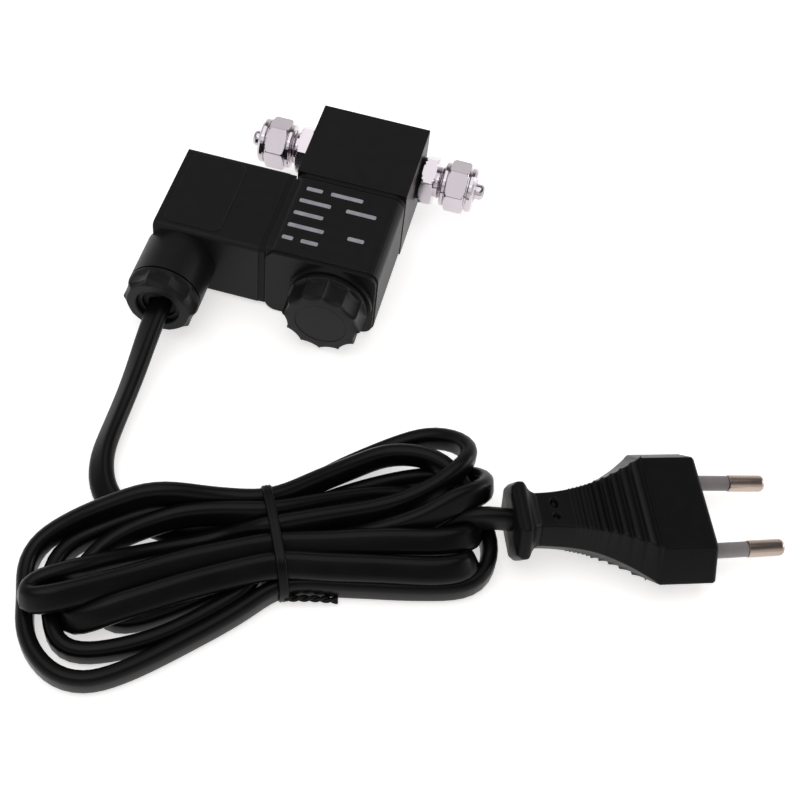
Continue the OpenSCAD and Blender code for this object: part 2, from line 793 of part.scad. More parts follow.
module tie_shape(grow, z0, z1) {
    translate([tie_x, tie_y, 0]) rotate([0, 0, tie_turn])
        box(-tie_len / 2 - grow, tie_len / 2 + grow, -tie_w / 2, tie_w / 2, z0, z1);
}

module cord_hank() {
    color([0.05, 0.05, 0.05]) difference() {
        linear_extrude(hank_h) polygon(hank_outline);
        tie_shape(0, -1, 1);
        difference() {
            tie_shape(5, -1, hank_h + 1);
            tie_shape(-1.2, -2, hank_h + 2);
        }
    }
}

module cord_tie() {
    color([0.04, 0.04, 0.04]) {
        difference() {
            tie_shape(0, 0, hank_h + 1);
            tie_shape(-1.2, 1, hank_h);
        }
        translate([tie_x, tie_y, 0]) rotate([0, 0, tie_turn]) translate([tie_len / 2 - 0.4, 0, 1.2])
            rotate([0, 90, 75]) cylinder(r = 0.8, h = 10);
    }
}

module at_plug() {
    translate([plug_x, plug_y, plug_z]) rotate([0, plug_lift, plug_yaw]) children();
}

module cord_tail() {
    color([0.05, 0.05, 0.05]) at_plug() translate([-50.3, 0, 0]) rotate([90, 0, 90])
        linear_extrude(6) polygon(lead_section(0));
}

function plug_ring(r) = [
    [-r[0], -r[1], 0], [-r[0], -r[2], -r[3]], [-r[0], r[2], -r[3]],
    [-r[0], r[1], 0], [-r[0], r[2], r[3]], [-r[0], -r[2], r[3]]
];

module pin_bores(r, x0, x1) {
    for (s = [-1, 1])
        translate([0, s * pin_half, 0]) rotate([0, 90, -s * pin_turn])
            translate([0, 0, x0]) cylinder(r = r, h = x1 - x0);
}

module plug_body() {
    color([0.06, 0.06, 0.06]) at_plug() difference() {
        sweep([for (r = plug_rings) plug_ring(r)]);
        pin_bores(1.82, -1, 1);
        pin_bores(1.5, -10, 0);
    }
}

module plug_collar() {
    color([0.07, 0.07, 0.07]) at_plug() sweep([
        for (r = [[39.5, 5.9, 4, 4.5], [40.6, 9.1, 5.9, 6.3], [41.4, 10, 6.4, 6.9],
            [43.2, 10, 6.4, 6.9], [44.3, 8.8, 5.6, 6.2]]) plug_ring(r)]);
}

module plug_sleeves() {
    color([0.62, 0.62, 0.64]) at_plug() difference() {
        pin_bores(1.82, -1, 10);
        pin_bores(1.5, -2, 11);
    }
}

module plug_pin(s) {
    at_plug() translate([0, s * pin_half, 0]) rotate([0, 90, -s * pin_turn]) rotate_extrude()
        polygon([[0, -10], [1.5, -10], [1.5, 10], [pin_r, 10], [pin_r, 18],
            [pin_r - 0.25, 18.6], [pin_r - 0.9, 19], [0, 19]]);
}

module plug_pin_near() {
    color([0.72, 0.7, 0.64]) plug_pin(-1);
}

module plug_pin_far() {
    color([0.72, 0.7, 0.64]) plug_pin(1);
}

place() valve_body();
place() armature_tube();
place() tube_o_ring();
place() fixed_core();
place() shading_ring();
place() plunger();
place() plunger_seal();
place() return_spring();
place() coil_plate();
place() coil_housing();
place() yoke();
place() coil_bobbin();
place() coil_winding();
place() line_blades();
place() earth_blade();
place() coil_insert();
place() coil_washer();
place() coil_nut();
place() port_seals();
place() inlet_fitting();
place() inlet_ferrule();
place() inlet_nut();
place() outlet_fitting();
place() outlet_ferrule();
place() outlet_nut();
place() conn_gasket();
place() conn_housing();
place() terminal_block();
place() line_contacts();
place() earth_contact();
place() terminal_screws();
place() core_brown();
place() core_blue();
place() conn_screw();
place() conn_screw_washer();
place() gland_grommet();
place() gland_ring();
place() gland_nut();
place() cord_lead();
place() cord_hank();
place() cord_tie();
place() cord_tail();
place() plug_body();
place() plug_collar();
place() plug_sleeves();
place() plug_pin_near();
place() plug_pin_far();
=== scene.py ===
"""Looks of the solenoid valve: camera, studio, lead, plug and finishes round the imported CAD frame.

Lengths are written in millimetres in the frame of the coil's front left corner (x right, y back,
z up) and moved into the row frame by place()."""
import json
import math

import bmesh
import bpy
import numpy as np
from mathutils import Matrix, Vector


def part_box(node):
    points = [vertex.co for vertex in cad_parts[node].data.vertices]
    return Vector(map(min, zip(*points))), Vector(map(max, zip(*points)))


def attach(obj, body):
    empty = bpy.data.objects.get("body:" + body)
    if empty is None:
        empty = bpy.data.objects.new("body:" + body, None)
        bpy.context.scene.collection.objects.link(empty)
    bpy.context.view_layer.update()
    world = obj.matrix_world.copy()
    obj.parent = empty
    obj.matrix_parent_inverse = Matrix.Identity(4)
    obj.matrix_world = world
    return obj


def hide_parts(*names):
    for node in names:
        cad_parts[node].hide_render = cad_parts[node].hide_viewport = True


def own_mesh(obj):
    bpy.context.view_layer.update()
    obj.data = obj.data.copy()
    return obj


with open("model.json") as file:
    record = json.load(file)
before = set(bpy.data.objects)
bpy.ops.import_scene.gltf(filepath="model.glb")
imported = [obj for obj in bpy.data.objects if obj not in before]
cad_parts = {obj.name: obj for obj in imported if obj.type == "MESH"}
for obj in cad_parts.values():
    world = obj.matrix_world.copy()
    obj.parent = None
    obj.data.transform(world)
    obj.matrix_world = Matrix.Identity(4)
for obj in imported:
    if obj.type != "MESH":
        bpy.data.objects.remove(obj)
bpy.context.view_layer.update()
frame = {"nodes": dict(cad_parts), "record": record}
NODES = frame["nodes"]

MM = 0.001
SHIFT = Vector((-7.7, -18.8, 0.0))  # coil corner to the row frame


def place(x, y, z):
    """A point of the coil-corner frame, in row-frame metres."""
    return (Vector((x, y, z)) + SHIFT) * MM


# ---------------------------------------------------------------- camera
# its place, mm; turned to the right, tipped down and rolled, degrees; focal length on 36 mm
CAMERA_AT = (69.3, -227.9, 289.9)
CAMERA_YAW, CAMERA_PITCH, CAMERA_ROLL = -7.68, 53.79, 8.21
CAMERA_LENS = 65.25


def make_camera():
    yaw, pitch, roll = (math.radians(a) for a in (CAMERA_YAW, CAMERA_PITCH, CAMERA_ROLL))
    level = Vector((math.sin(yaw), math.cos(yaw), 0))
    forward = level * math.cos(pitch) - Vector((0, 0, math.sin(pitch)))
    right = Vector((math.cos(yaw), -math.sin(yaw), 0))
    up = right.cross(forward)
    right, up = (
        right * math.cos(roll) + up * math.sin(roll),
        up * math.cos(roll) - right * math.sin(roll),
    )
    data = bpy.data.cameras.new("camera")
    data.lens, data.sensor_width = CAMERA_LENS, 36
    data.clip_start, data.clip_end = 0.01, 20
    camera = bpy.data.objects.new("camera", data)
    bpy.context.scene.collection.objects.link(camera)
    turn = Matrix((right, up, -forward)).transposed().to_4x4()
    camera.matrix_world = Matrix.Translation(place(*CAMERA_AT)) @ turn
    bpy.context.scene.camera = camera


make_camera()

# ---------------------------------------------------------------- mesh helpers


def new_object(name, verts, faces, smooth=True):
    """A mesh object in the scene, smooth shaded unless told otherwise."""
    mesh = bpy.data.meshes.new(name)
    mesh.from_pydata([tuple(v) for v in verts], [], faces)
    mesh.validate()
    if smooth:
        mesh.polygons.foreach_set("use_smooth", [True] * len(mesh.polygons))
    obj = bpy.data.objects.new(name, mesh)
    bpy.context.scene.collection.objects.link(obj)
    return obj


def join(name, parts):
    """One object from several, in mesh data."""
    bm = bmesh.new()
    for part in parts:
        bm.from_mesh(part.data)
        bpy.data.objects.remove(part)
    mesh = bpy.data.meshes.new(name)
    bm.to_mesh(mesh)
    bm.free()
    obj = bpy.data.objects.new(name, mesh)
    bpy.context.scene.collection.objects.link(obj)
    return obj


# ---------------------------------------------------------------- the lead
LEAD_W, LEAD_T = 6.4, 3.8

# The lead's route, mm: x, y, z of its middle and the lean of its wide side, degrees, where 0 is
# flat, 90 on edge, and less than 90 leans the upper edge to the left of the way it runs.
ROUTE = [
    # out of the gland and down to the bundle
    (-21.9, -3, 11, 25), (-21.9, -12, 11, 25), (-21.9, -17, 11, 26), (-21.9, -22, 10.5, 31),
    (-21.9, -27.5, 9.2, 38), (-21.9, -34, 7.3, 44), (-22, -41, 5.7, 47), (-22, -49, 4.6, 46),
    (-21.4, -57, 4, 40),
    (-18.6, -64, 3.2, 25), (-14, -68.5, 2.6, 25), (-6, -70, 2.6, 35),
    (3.5, -70.5, 2.8, 70), (12.5, -66.5, 3.2, 85), (22, -63.5, 3.2, 90), (31.5, -54.5, 3.3, 90),
    (41, -47, 3.4, 90), (50.5, -41.5, 3.8, 90), (59, -39, 4.2, 90), (64.5, -39.7, 5, 90),
    (67, -43, 6, 90),
    # back to the left under the wide run, round the innermost loop
    (66.3, -47.2, 6.8, 120), (62, -52, 7, 130), (54.5, -57.5, 6.4, 120), (44.5, -62, 5, 100),
    (23.5, -67, 3.2, 90), (16, -76.5, 3.2, 90), (8, -82.5, 3.2, 90), (0.5, -88.5, 3.2, 90),
    (-5, -92.5, 3.2, 90),
    (-7, -95.2, 3.2, 90), (-4, -97.2, 3.2, 90), (2, -94.5, 3.2, 90), (10, -88, 3.2, 90),
    (17.5, -81, 3.2, 90), (27, -74, 3.2, 90), (36.5, -71, 3.2, 90), (49.5, -66, 3.2, 90),
    (63, -60.5, 3.4, 90),
    # the near wide run on top, right to left
    (68, -59.3, 5.5, 110), (68, -63.3, 8, 135), (63.5, -66, 8.6, 144), (50, -69.5, 8.6, 144),
    (36.5, -73, 8.6, 144), (27.5, -75, 8.8, 144), (17.5, -81, 8.8, 144), (9.5, -86.5, 8.8, 144),
    (0.5, -93, 8.6, 144), (-8, -98.5, 8.3, 140),
    # third upper loop, left to right
    (-12.3, -100.3, 7.5, 120), (-14.2, -97.2, 6.5, 100), (-14.5, -92.5, 6.5, 90),
    (-14.2, -87, 7, 90), (-12, -81, 7, 90), (-6.5, -74.5, 6.8, 80), (3, -69, 6.5, 75),
    (12.5, -65.5, 6.8, 70), (22, -63.5, 8.6, 60), (32, -56.5, 7.5, 70), (41.5, -50.5, 6.5, 80),
    (50.5, -46.5, 5, 90), (59.5, -45.5, 3.8, 90), (66, -48, 3.2, 90), (69.5, -52.5, 3.2, 90),
    (70.8, -57, 3.2, 90),
    # nearest run, right to left, and the big lower loop
    (70, -62, 3.2, 90), (67, -65.7, 3.2, 90), (57.5, -69.5, 3.2, 90), (44, -73, 3.2, 90),
    (28.5, -77.5, 3.2, 90), (22.5, -84, 3.2, 90), (15.5, -92.5, 3.2, 90), (8.5, -101, 3.2, 90),
    (2, -107.5, 3.2, 90), (-4, -111.5, 3.2, 90), (-10, -112, 3.2, 90), (-15.5, -109.5, 3.2, 90),
    (-20, -105, 3.2, 90), (-22, -101, 3.2, 90),
    # outermost upper loop, left to right
    (-23.4, -96.6, 3.2, 90), (-25.4, -92.5, 3.4, 90), (-26.4, -88.2, 4, 90), (-25.2, -83.5, 5, 90),
    (-21, -79, 6, 90), (-16, -75.5, 6.8, 90), (-8, -71, 6.5, 85), (2.5, -67, 5.8, 80),
    (12, -64, 6, 75), (20.3, -61, 7, 70), (30, -50.3, 6.5, 80), (36, -44.5, 6.2, 80),
    (42.3, -39.5, 6.3, 85), (49.5, -38, 6.5, 90), (56, -38.8, 5.5, 90), (61.5, -42.2, 4.2, 90),
    (65.2, -47, 4.4, 90),
    # the far wide run on top, right to left
    (66.6, -52.8, 7, 110), (65.6, -57, 9.4, 135), (60.5, -59.6, 10, 144), (48, -62.7, 10, 144),
    (35, -67.5, 10, 144), (25.3, -70.7, 10, 144), (16, -76, 10, 144), (7.6, -81, 10, 144),
    (-1.4, -87.7, 10.3, 144), (-9.4, -94, 10.8, 144), (-16.7, -99, 11, 140),
    # left to right between the loops
    (-21.8, -100, 9, 110), (-22.9, -97, 7.5, 90), (-20.5, -94, 7.5, 90), (-15, -90.2, 7, 90),
    (-8.3, -83.7, 5, 90), (0, -77, 3.6, 90), (8.4, -71.3, 3.4, 90), (14.8, -68.2, 5, 80),
    (23.4, -67, 9, 60), (33.4, -62, 9, 70), (43, -57, 9, 70), (51.2, -51.6, 9, 75),
    (57.2, -45.8, 9, 80), (61, -39.6, 9, 90), (61.2, -35, 8.5, 90),
    # top right loop, and right to left behind the others
    (57.8, -31.7, 7.5, 90), (51, -31, 6.5, 90), (44, -34.3, 5, 90), (38.4, -38.7, 4, 90),
    (32.5, -44.6, 3.2, 90), (20, -60.3, 3.2, 90), (12, -64.4, 3.2, 90), (2.7, -67.8, 3.2, 90),
    (-6.2, -72, 3.2, 90), (-13.5, -76.2, 3.2, 90), (-19, -81.3, 3.2, 90), (-20.7, -86, 3.2, 90),
    (-20.4, -90, 3.2, 90),
    # second lower loop, left to right, and out to the plug
    (-18.6, -95, 3.2, 90), (-16, -100, 3.2, 90), (-13.8, -104, 3.2, 90), (-10, -105.8, 3.2, 90),
    (-4.7, -104.6, 3.2, 90), (3, -100.5, 3.2, 90), (9.6, -95.7, 3.2, 90), (16, -89.4, 3.2, 90),
    (21, -82.7, 3.2, 90), (25.2, -70.5, 3.2, 90), (35.6, -68.7, 3.2, 85), (48.3, -61.4, 3.6, 70),
    (56, -57, 4.6, 60), (61.5, -54.2, 6.6, 65), (66.5, -52.4, 9.3, 80), (71, -51.1, 10.3, 88),
    (77, -49.4, 10.1, 90),
]
STEP = 2.0  # mm between the lead's rings
FIXED_START, FIXED_END = 8, 5  # rings held in the gland and at the plug
TOUCH = 3.4  # mm between the middles of touching runs, pressed a little into each other
SETTLE_ROUNDS, PAIRS_EVERY = 260, 20  # rounds of settling, and how often near pairs are listed
NEAR, ALONG = 13, 9  # mm: pairs of rings this near, and at least this far along the lead
ASIDE, BACK = 0.55, 0.985  # how easily a run moves aside, and the share of that it keeps each round
SINK = 0.01  # mm that a free ring sinks each round


def spline(points, step):
    """Evenly spaced points of a centripetal Catmull-Rom curve through the given ones."""
    p = np.array(points, float)
    p = np.vstack([2 * p[0] - p[1], p, 2 * p[-1] - p[-2]])
    dense = []
    for a, b, c, d in zip(p, p[1:], p[2:], p[3:]):
        spans = [max(np.linalg.norm((v - u)[:3]), 0.05) ** 0.5 for u, v in ((a, b), (b, c), (c, d))]
        t = np.cumsum([0] + spans)
        for s in np.linspace(t[1], t[2], 12, endpoint=False):
            a1 = (t[1] - s) / (t[1] - t[0]) * a + (s - t[0]) / (t[1] - t[0]) * b
            a2 = (t[2] - s) / (t[2] - t[1]) * b + (s - t[1]) / (t[2] - t[1]) * c
            a3 = (t[3] - s) / (t[3] - t[2]) * c + (s - t[2]) / (t[3] - t[2]) * d
            b1 = (t[2] - s) / (t[2] - t[0]) * a1 + (s - t[0]) / (t[2] - t[0]) * a2
            b2 = (t[3] - s) / (t[3] - t[1]) * a2 + (s - t[1]) / (t[3] - t[1]) * a3
            dense.append((t[2] - s) / (t[2] - t[1]) * b1 + (s - t[1]) / (t[2] - t[1]) * b2)
    dense = np.array(dense + [p[-2]])
    stretches = np.linalg.norm(np.diff(dense[:, :3], axis=0), axis=1)
    run = np.concatenate([[0], np.cumsum(stretches)])
    wanted = np.linspace(0, run[-1], int(round(run[-1] / step)) + 1)
    return np.stack([np.interp(wanted, run, dense[:, k]) for k in range(dense.shape[1])], axis=1)


def smooth(values, rounds):
    """Values averaged with their neighbours, except at the two ends."""
    v = values.copy()
    for _ in range(rounds):
        v[1:-1] = 0.25 * v[:-2] + 0.5 * v[1:-1] + 0.25 * v[2:]
    return v


def wide_axes(pos, lean):
    """For each ring, the way the lead runs and the directions of its width and its thickness."""
    tangent = np.gradient(pos, axis=0)
    tangent /= np.linalg.norm(tangent, axis=1)[:, None]
    left = np.stack([-tangent[:, 1], tangent[:, 0], np.zeros(len(pos))], axis=1)
    left /= np.linalg.norm(left, axis=1)[:, None]
    upward = np.cross(tangent, left)
    a = np.radians(lean)[:, None]
    wide = np.cos(a) * left + np.sin(a) * upward
    return tangent, wide, np.cross(tangent, wide)


def settle(route):
    """Moves overlapping runs apart until they rest on each other and on the surface."""
    sample = spline(route, STEP)
    rest, lean = smooth(sample[:, :3], 3), smooth(sample[:, 3], 4)
    count = len(rest)
    half = (LEAD_W - LEAD_T) / 2
    moved = np.zeros_like(rest)
    free = np.ones(count)
    free[:FIXED_START] = free[-FIXED_END:] = 0
    free = smooth(free, 6)[:, None]
    free[:FIXED_START] = free[-FIXED_END:] = 0
    for turn in range(SETTLE_ROUNDS):
        pos = rest + moved
        if turn % PAIRS_EVERY == 0:
            distance = np.linalg.norm(pos[:, None, :] - pos[None, :, :], axis=2)
            i, j = np.nonzero(np.triu(distance < NEAR, int(ALONG / STEP)))
        _, wide, _ = wide_axes(pos, lean)
        push, hits = np.zeros_like(pos), np.zeros(count)
        # each ring stands for three round cores side by side
        for a in (-half, 0, half):
            for b in (-half, 0, half):
                apart = pos[i] + a * wide[i] - pos[j] - b * wide[j]
                distance = np.linalg.norm(apart, axis=1)
                over = np.clip(TOUCH - distance, 0, None)
                hit = over > 0
                way = apart[hit] / np.maximum(distance[hit], 0.3)[:, None] * (ASIDE, ASIDE, 1.0)
                amount = way * over[hit][:, None] * 0.5
                np.add.at(push, i[hit], amount)
                np.add.at(push, j[hit], -amount)
                np.add.at(hits, i[hit], 1.0)
                np.add.at(hits, j[hit], 1.0)
        moved += free * push / np.maximum(hits, 1)[:, None] * 0.9
        moved = smooth(moved, 1)
        pos = rest + moved
        _, wide, _ = wide_axes(pos, lean)
        lowest = LEAD_T / 2 + half * np.abs(wide[:, 2])
        height = np.maximum(pos[:, 2] - SINK * free[:, 0], lowest)
        moved[:, 2] += free[:, 0] * (height - pos[:, 2])
        moved[:, :2] *= BACK
    return rest + smooth(moved, 2), lean


def obround(width, thick, steps=5):
    """A flat lead's section: two half rounds joined by straight sides, the width first."""
    r, h = thick / 2, (width - thick) / 2
    turn = np.linspace(-math.pi / 2, math.pi / 2, steps * 2 + 1)
    right = [(h + r * math.cos(a), r * math.sin(a)) for a in turn]
    left = [(-h - r * math.cos(a), -r * math.sin(a)) for a in turn]
    return right + left


def make_lead():
    """The lead from the gland to the plug, the line it follows and its length, metres."""
    pos, lean = settle(ROUTE)
    _, wide, thin = wide_axes(pos, lean)
    section = obround(LEAD_W, LEAD_T)
    n = len(section)
    verts = [place(*(p + w * a + t * b)) for p, w, t in zip(pos, wide, thin) for a, b in section]
    faces = [
        (k * n + m, k * n + (m + 1) % n, (k + 1) * n + (m + 1) % n, (k + 1) * n + m)
        for k in range(len(pos) - 1)
        for m in range(n)
    ]
    faces += [tuple(range(n))[::-1], tuple((len(pos) - 1) * n + m for m in range(n))]
    path = [tuple(place(*p)) for p in pos]
    length = sum((Vector(b) - Vector(a)).length for a, b in zip(path, path[1:]))
    return new_object("lead", verts, faces), path, length


lead, lead_path, lead_length = make_lead()
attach(lead, "valve")
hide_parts("cord_lead", "cord_hank", "cord_tail")


# ---------------------------------------------------------------- the tie
# where it goes round the bundle, its turn, its width and thickness, and its twisted ends
TIE_AT, TIE_TURN = (24.3, -68.7), -63
TIE_W, TIE_T = 2.4, 0.6
TIE_LIFT, TIE_RIDGE = 0.1, 0.42  # mm clear of the lead, and the ridge's height in the section
END_LENGTH, END_TWISTS, STRAND_R, STRAND_APART = 12, 2.5, 0.5, 0.35


def tie_frame(across, along, up):
    """A point at the tie, from its place across and along the bundle and above the surface."""
    a = math.radians(TIE_TURN)
    return place(
        TIE_AT[0] + across * math.cos(a) - along * math.sin(a),
        TIE_AT[1] + across * math.sin(a) + along * math.cos(a),
        up,
    )


def convex(points):
    """The convex outline round points, anticlockwise."""
    points = sorted(set(points))
    sides = []
    for row in (points, points[::-1]):
        side = []
        for p in row:
            while len(side) > 1:
                (ax, ay), (bx, by) = side[-2:]
                if (bx - ax) * (p[1] - ay) - (by - ay) * (p[0] - ax) > 0:
                    break
                side.pop()
            side.append(p)
        sides += side[:-1]
    return sides


def bundle_outline():
    """The outline of the runs of lead that pass through the tie, across the bundle and up."""
    a = math.radians(TIE_TURN)
    points = []
    for v in lead.data.vertices:
        x, y, z = (v.co / MM) - SHIFT
        dx, dy = x - TIE_AT[0], y - TIE_AT[1]
        across = dx * math.cos(a) + dy * math.sin(a)
        along = dy * math.cos(a) - dx * math.sin(a)
        if abs(along) < TIE_W / 2 + 1.5 and abs(across) < 18:
            points.append((round(across, 2), round(z, 2)))
    return convex(points)


def even_loop(points, count):
    """Count points evenly spaced round a closed outline."""
    p = np.array(points + points[:1])
    run = np.concatenate([[0], np.cumsum(np.linalg.norm(np.diff(p, axis=0), axis=1))])
    at = np.linspace(0, run[-1], count, endpoint=False)
    return np.stack([np.interp(at, run, p[:, k]) for k in range(2)], axis=1)


def tube(points, radius, sides):
    """Vertices and faces of a round tube along points of the coil-corner frame."""
    verts, faces = [], []
    last = len(points) - 1
    for k, p in enumerate(points):
        along = (points[min(k + 1, last)] - points[max(k - 1, 0)]).normalized()
        side = along.cross(Vector((0, 0, 1))).normalized()
        up = side.cross(along)
        r = radius * (0.75 if k in (0, last) else 1)
        for m in range(sides):
            a = 2 * math.pi * m / sides
            q = p + side * r * math.cos(a) + up * r * math.sin(a)
            verts.append(place(q.x, q.y, max(q.z, 0.05)))
    for k in range(last):
        for m in range(sides):
            n = (m + 1) % sides
            here, there = k * sides, (k + 1) * sides
            faces.append((here + m, here + n, there + n, there + m))
    faces += [tuple(range(sides))[::-1], tuple(last * sides + m for m in range(sides))]
    return verts, faces


def make_tie():
    """A flat twist tie round the bundle, with its twisted ends lying beside it."""
    loop = even_loop(bundle_outline(), 120)
    for _ in range(6):
        loop = (np.roll(loop, 1, 0) + 2 * loop + np.roll(loop, -1, 0)) / 4
    tangent = np.roll(loop, -1, 0) - np.roll(loop, 1, 0)
    tangent /= np.linalg.norm(tangent, axis=1)[:, None]
    outward = np.stack([tangent[:, 1], -tangent[:, 0]], axis=1)
    # across the tie and out from the bundle: a ridge over the wire and one along each edge
    w = TIE_W / 2
    section = [(-w, 0.12), (-w + 0.4, 0.4), (-0.5, 0.3), (0, TIE_RIDGE), (0.5, 0.3)]
    section += [(w - 0.4, 0.4), (w, 0.12), (w - 0.3, -0.05), (-w + 0.3, -0.05)]
    n, count = len(section), len(loop)
    verts = []
    for p, o in zip(loop, outward):
        for along, out in section:
            q = p + o * (out * TIE_T / TIE_RIDGE + TIE_LIFT)
            verts.append(tie_frame(q[0], along, max(q[1], 0.05)))
    faces = []
    for k in range(count):
        here, there = k * n, (k + 1) % count * n
        faces += [(here + m, there + m, there + (m + 1) % n, here + (m + 1) % n) for m in range(n)]
    near = loop[:, 0].max()
    for phase in (0, math.pi):
        strand = []
        for f in np.linspace(0, 1, 61):
            reach, a = END_LENGTH * f, phase + f * math.pi * 2 * END_TWISTS
            height = 2.4 - 1.2 * f + 0.5 * math.sin(3 * f)
            middle = (near + 0.1 + 0.17 * reach, 0.98 * reach, height)
            aside = (STRAND_APART * math.cos(a), 0, STRAND_APART * math.sin(a))
            strand.append(tie_frame(*(Vector(middle) + Vector(aside))) / MM - SHIFT)
        vs, fs = tube(strand, STRAND_R, 8)
        faces += [tuple(len(verts) + i for i in face) for face in fs]
        verts += vs
    return new_object("twist_tie", verts, faces)


twist_tie = make_tie()
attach(twist_tie, "valve")
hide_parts("cord_tie")

# ---------------------------------------------------------------- turned pieces
# the way a turned piece faces, and the two directions across it
AXES = {
    "front": (Vector((0, -1, 0)), Vector((1, 0, 0)), Vector((0, 0, 1))),
    "left": (Vector((-1, 0, 0)), Vector((0, 1, 0)), Vector((0, 0, 1))),
    "right": (Vector((1, 0, 0)), Vector((0, 1, 0)), Vector((0, 0, 1))),
}
QUARTER = math.pi / 2


def turned(name, profile, at, axes, reshape=None, sides=144, sharp=28):
    """A piece turned about an axis: profile is [(distance out along it, radius), ...], a closed
    loop, or a line from the axis back to it. reshape(angle, distance, radius) gives the radius
    where flats, grips or a thread are cut. Edges sharper than sharp degrees stay sharp."""
    axis, u, v = axes
    verts, faces = [], []
    for out, r in profile:
        for m in range(sides):
            a = 2 * math.pi * m / sides
            q = reshape(a, out, r) if reshape and r > 0 else r
            across = u * math.cos(a) + v * math.sin(a)
            verts.append(place(*(Vector(at) + axis * out + across * q)))
    n = len(profile)
    for k in range(n if profile[0][1] > 0 else n - 1):
        here, there = k * sides, (k + 1) % n * sides
        for m in range(sides):
            o = (m + 1) % sides
            faces.append((here + m, here + o, there + o, there + m))
    obj = new_object(name, verts, faces)
    bm = bmesh.new()
    bm.from_mesh(obj.data)
    bmesh.ops.remove_doubles(bm, verts=bm.verts, dist=1e-7)
    bmesh.ops.recalc_face_normals(bm, faces=bm.faces)
    bm.to_mesh(obj.data)
    bm.free()
    obj.data.set_sharp_from_angle(angle=math.radians(sharp))
    return obj


def finely(profile, step, closed=True):
    """The profile with extra points so that no stretch is longer than step."""
    out = []
    for (s0, r0), (s1, r1) in zip(profile, profile[1:] + profile[:1] * closed):
        parts = max(1, math.ceil(math.hypot(s1 - s0, r1 - r0) / step))
        out += [(s0 + (s1 - s0) * k / parts, r0 + (r1 - r0) * k / parts) for k in range(parts)]
    return out if closed else out + profile[-1:]


# ---------------------------------------------------------------- the plug
# the middle of its face, how far it points away from x, and how far its tail is lifted, degrees
PLUG_AT, PLUG_YAW, PLUG_LIFT = Vector((116.2, -33.8, 6.84)), 21.5, 4.4
PLUG_TURN = Matrix.Rotation(math.radians(PLUG_YAW), 3, "Z")
PLUG_TURN = PLUG_TURN @ Matrix.Rotation(math.radians(PLUG_LIFT), 3, "Y")
# distance behind the face, half width, half width of the flat, half height
PLUG_RINGS = [
    (0, 17.65, 12.2, 6.85), (13, 17.65, 12.2, 6.85), (15, 16, 11.2, 6.75), (18, 13.6, 9.6, 6.5),
    (22, 11, 7.8, 6.1), (26, 9, 6.4, 5.7), (31, 7.6, 5.2, 5.3), (37, 6.8, 4.5, 5),
    (39.5, 6.6, 4.4, 5),
]
COLLAR_RINGS = [
    (39.2, 6.55, 4.35, 4.95), (40.1, 6.8, 4.5, 5.1), (40.9, 7.4, 4.8, 5.4), (41.5, 8.2, 5.3, 5.8),
    (42, 9.2, 5.9, 6.4), (42.4, 9.8, 6.3, 6.75), (42.8, 10, 6.4, 6.9), (43.8, 10, 6.4, 6.9),
    (44.2, 9.8, 6.3, 6.75), (45.2, 8.8, 5.6, 6.2), (45.25, 3.6, 2.4, 3.4),
]
# the face's rounded edge: how far the section draws in, over what depth
FACE_EDGE, FACE_EDGE_DEPTH = 0.35, 0.5
# grip ribs on the flats: the edge of each, behind the face
RIB_EDGES = [13.2, 16.2, 19, 21.5, 23.7, 25.6, 26.8, 27.8, 28.8, 29.8, 30.8, 31.8]
RIB_DEPTH = 0.95
# hollows in the upper flat: distance behind the face, place across, and half sizes the same ways
RECESSES = [(35.7, 1.5, 0.95, 1.35), (35.7, -1.9, 0.85, 0.85)]
RECESS_DEPTH = 1.5


def plug_place(x, y, z):
    """A point of the plug's own frame: x out of the face, y towards the far pin."""
    p = PLUG_TURN @ Vector((x, y, z)) + PLUG_AT
    return place(p.x, p.y, max(p.z, 0))


def between(rings, at):
    """The ring values at a distance, eased so that the waist is a smooth curve."""
    d = [r[0] for r in rings]
    out = []
    for k in range(1, 4):
        v = np.array([r[k] for r in rings], float)
        slope = np.gradient(v, d)
        slope[:2] = 0
        i = int(np.clip(np.searchsorted(d, at) - 1, 0, len(d) - 2))
        h = d[i + 1] - d[i]
        t = min(max((at - d[i]) / h, 0), 1)
        a, b = v[i], v[i + 1]
        if i == 0:
            out.append(a + (b - a) * t)
            continue
        out.append(
            (2 * t**3 - 3 * t**2 + 1) * a + (t**3 - 2 * t**2 + t) * h * slope[i]
            + (-2 * t**3 + 3 * t**2) * b + (t**3 - t**2) * h * slope[i + 1]
        )
    return out


def rib_height(at):
    """How far the flats lie below full height at a distance behind the face, mm."""
    if not RIB_EDGES[0] < at < RIB_EDGES[-1]:
        return 0.0
    i = int(np.searchsorted(RIB_EDGES, at)) - 1
    t = (at - RIB_EDGES[i]) / (RIB_EDGES[i + 1] - RIB_EDGES[i])
    depth = RIB_DEPTH * min(1, (RIB_EDGES[i + 1] - RIB_EDGES[i]) / 2.2)
    # a short rounded rise from the groove to the crest, then a long slope
    return -depth * ((1 - t / 0.2) ** 1.5 if t < 0.2 else ((t - 0.2) / 0.8) ** 1.7)


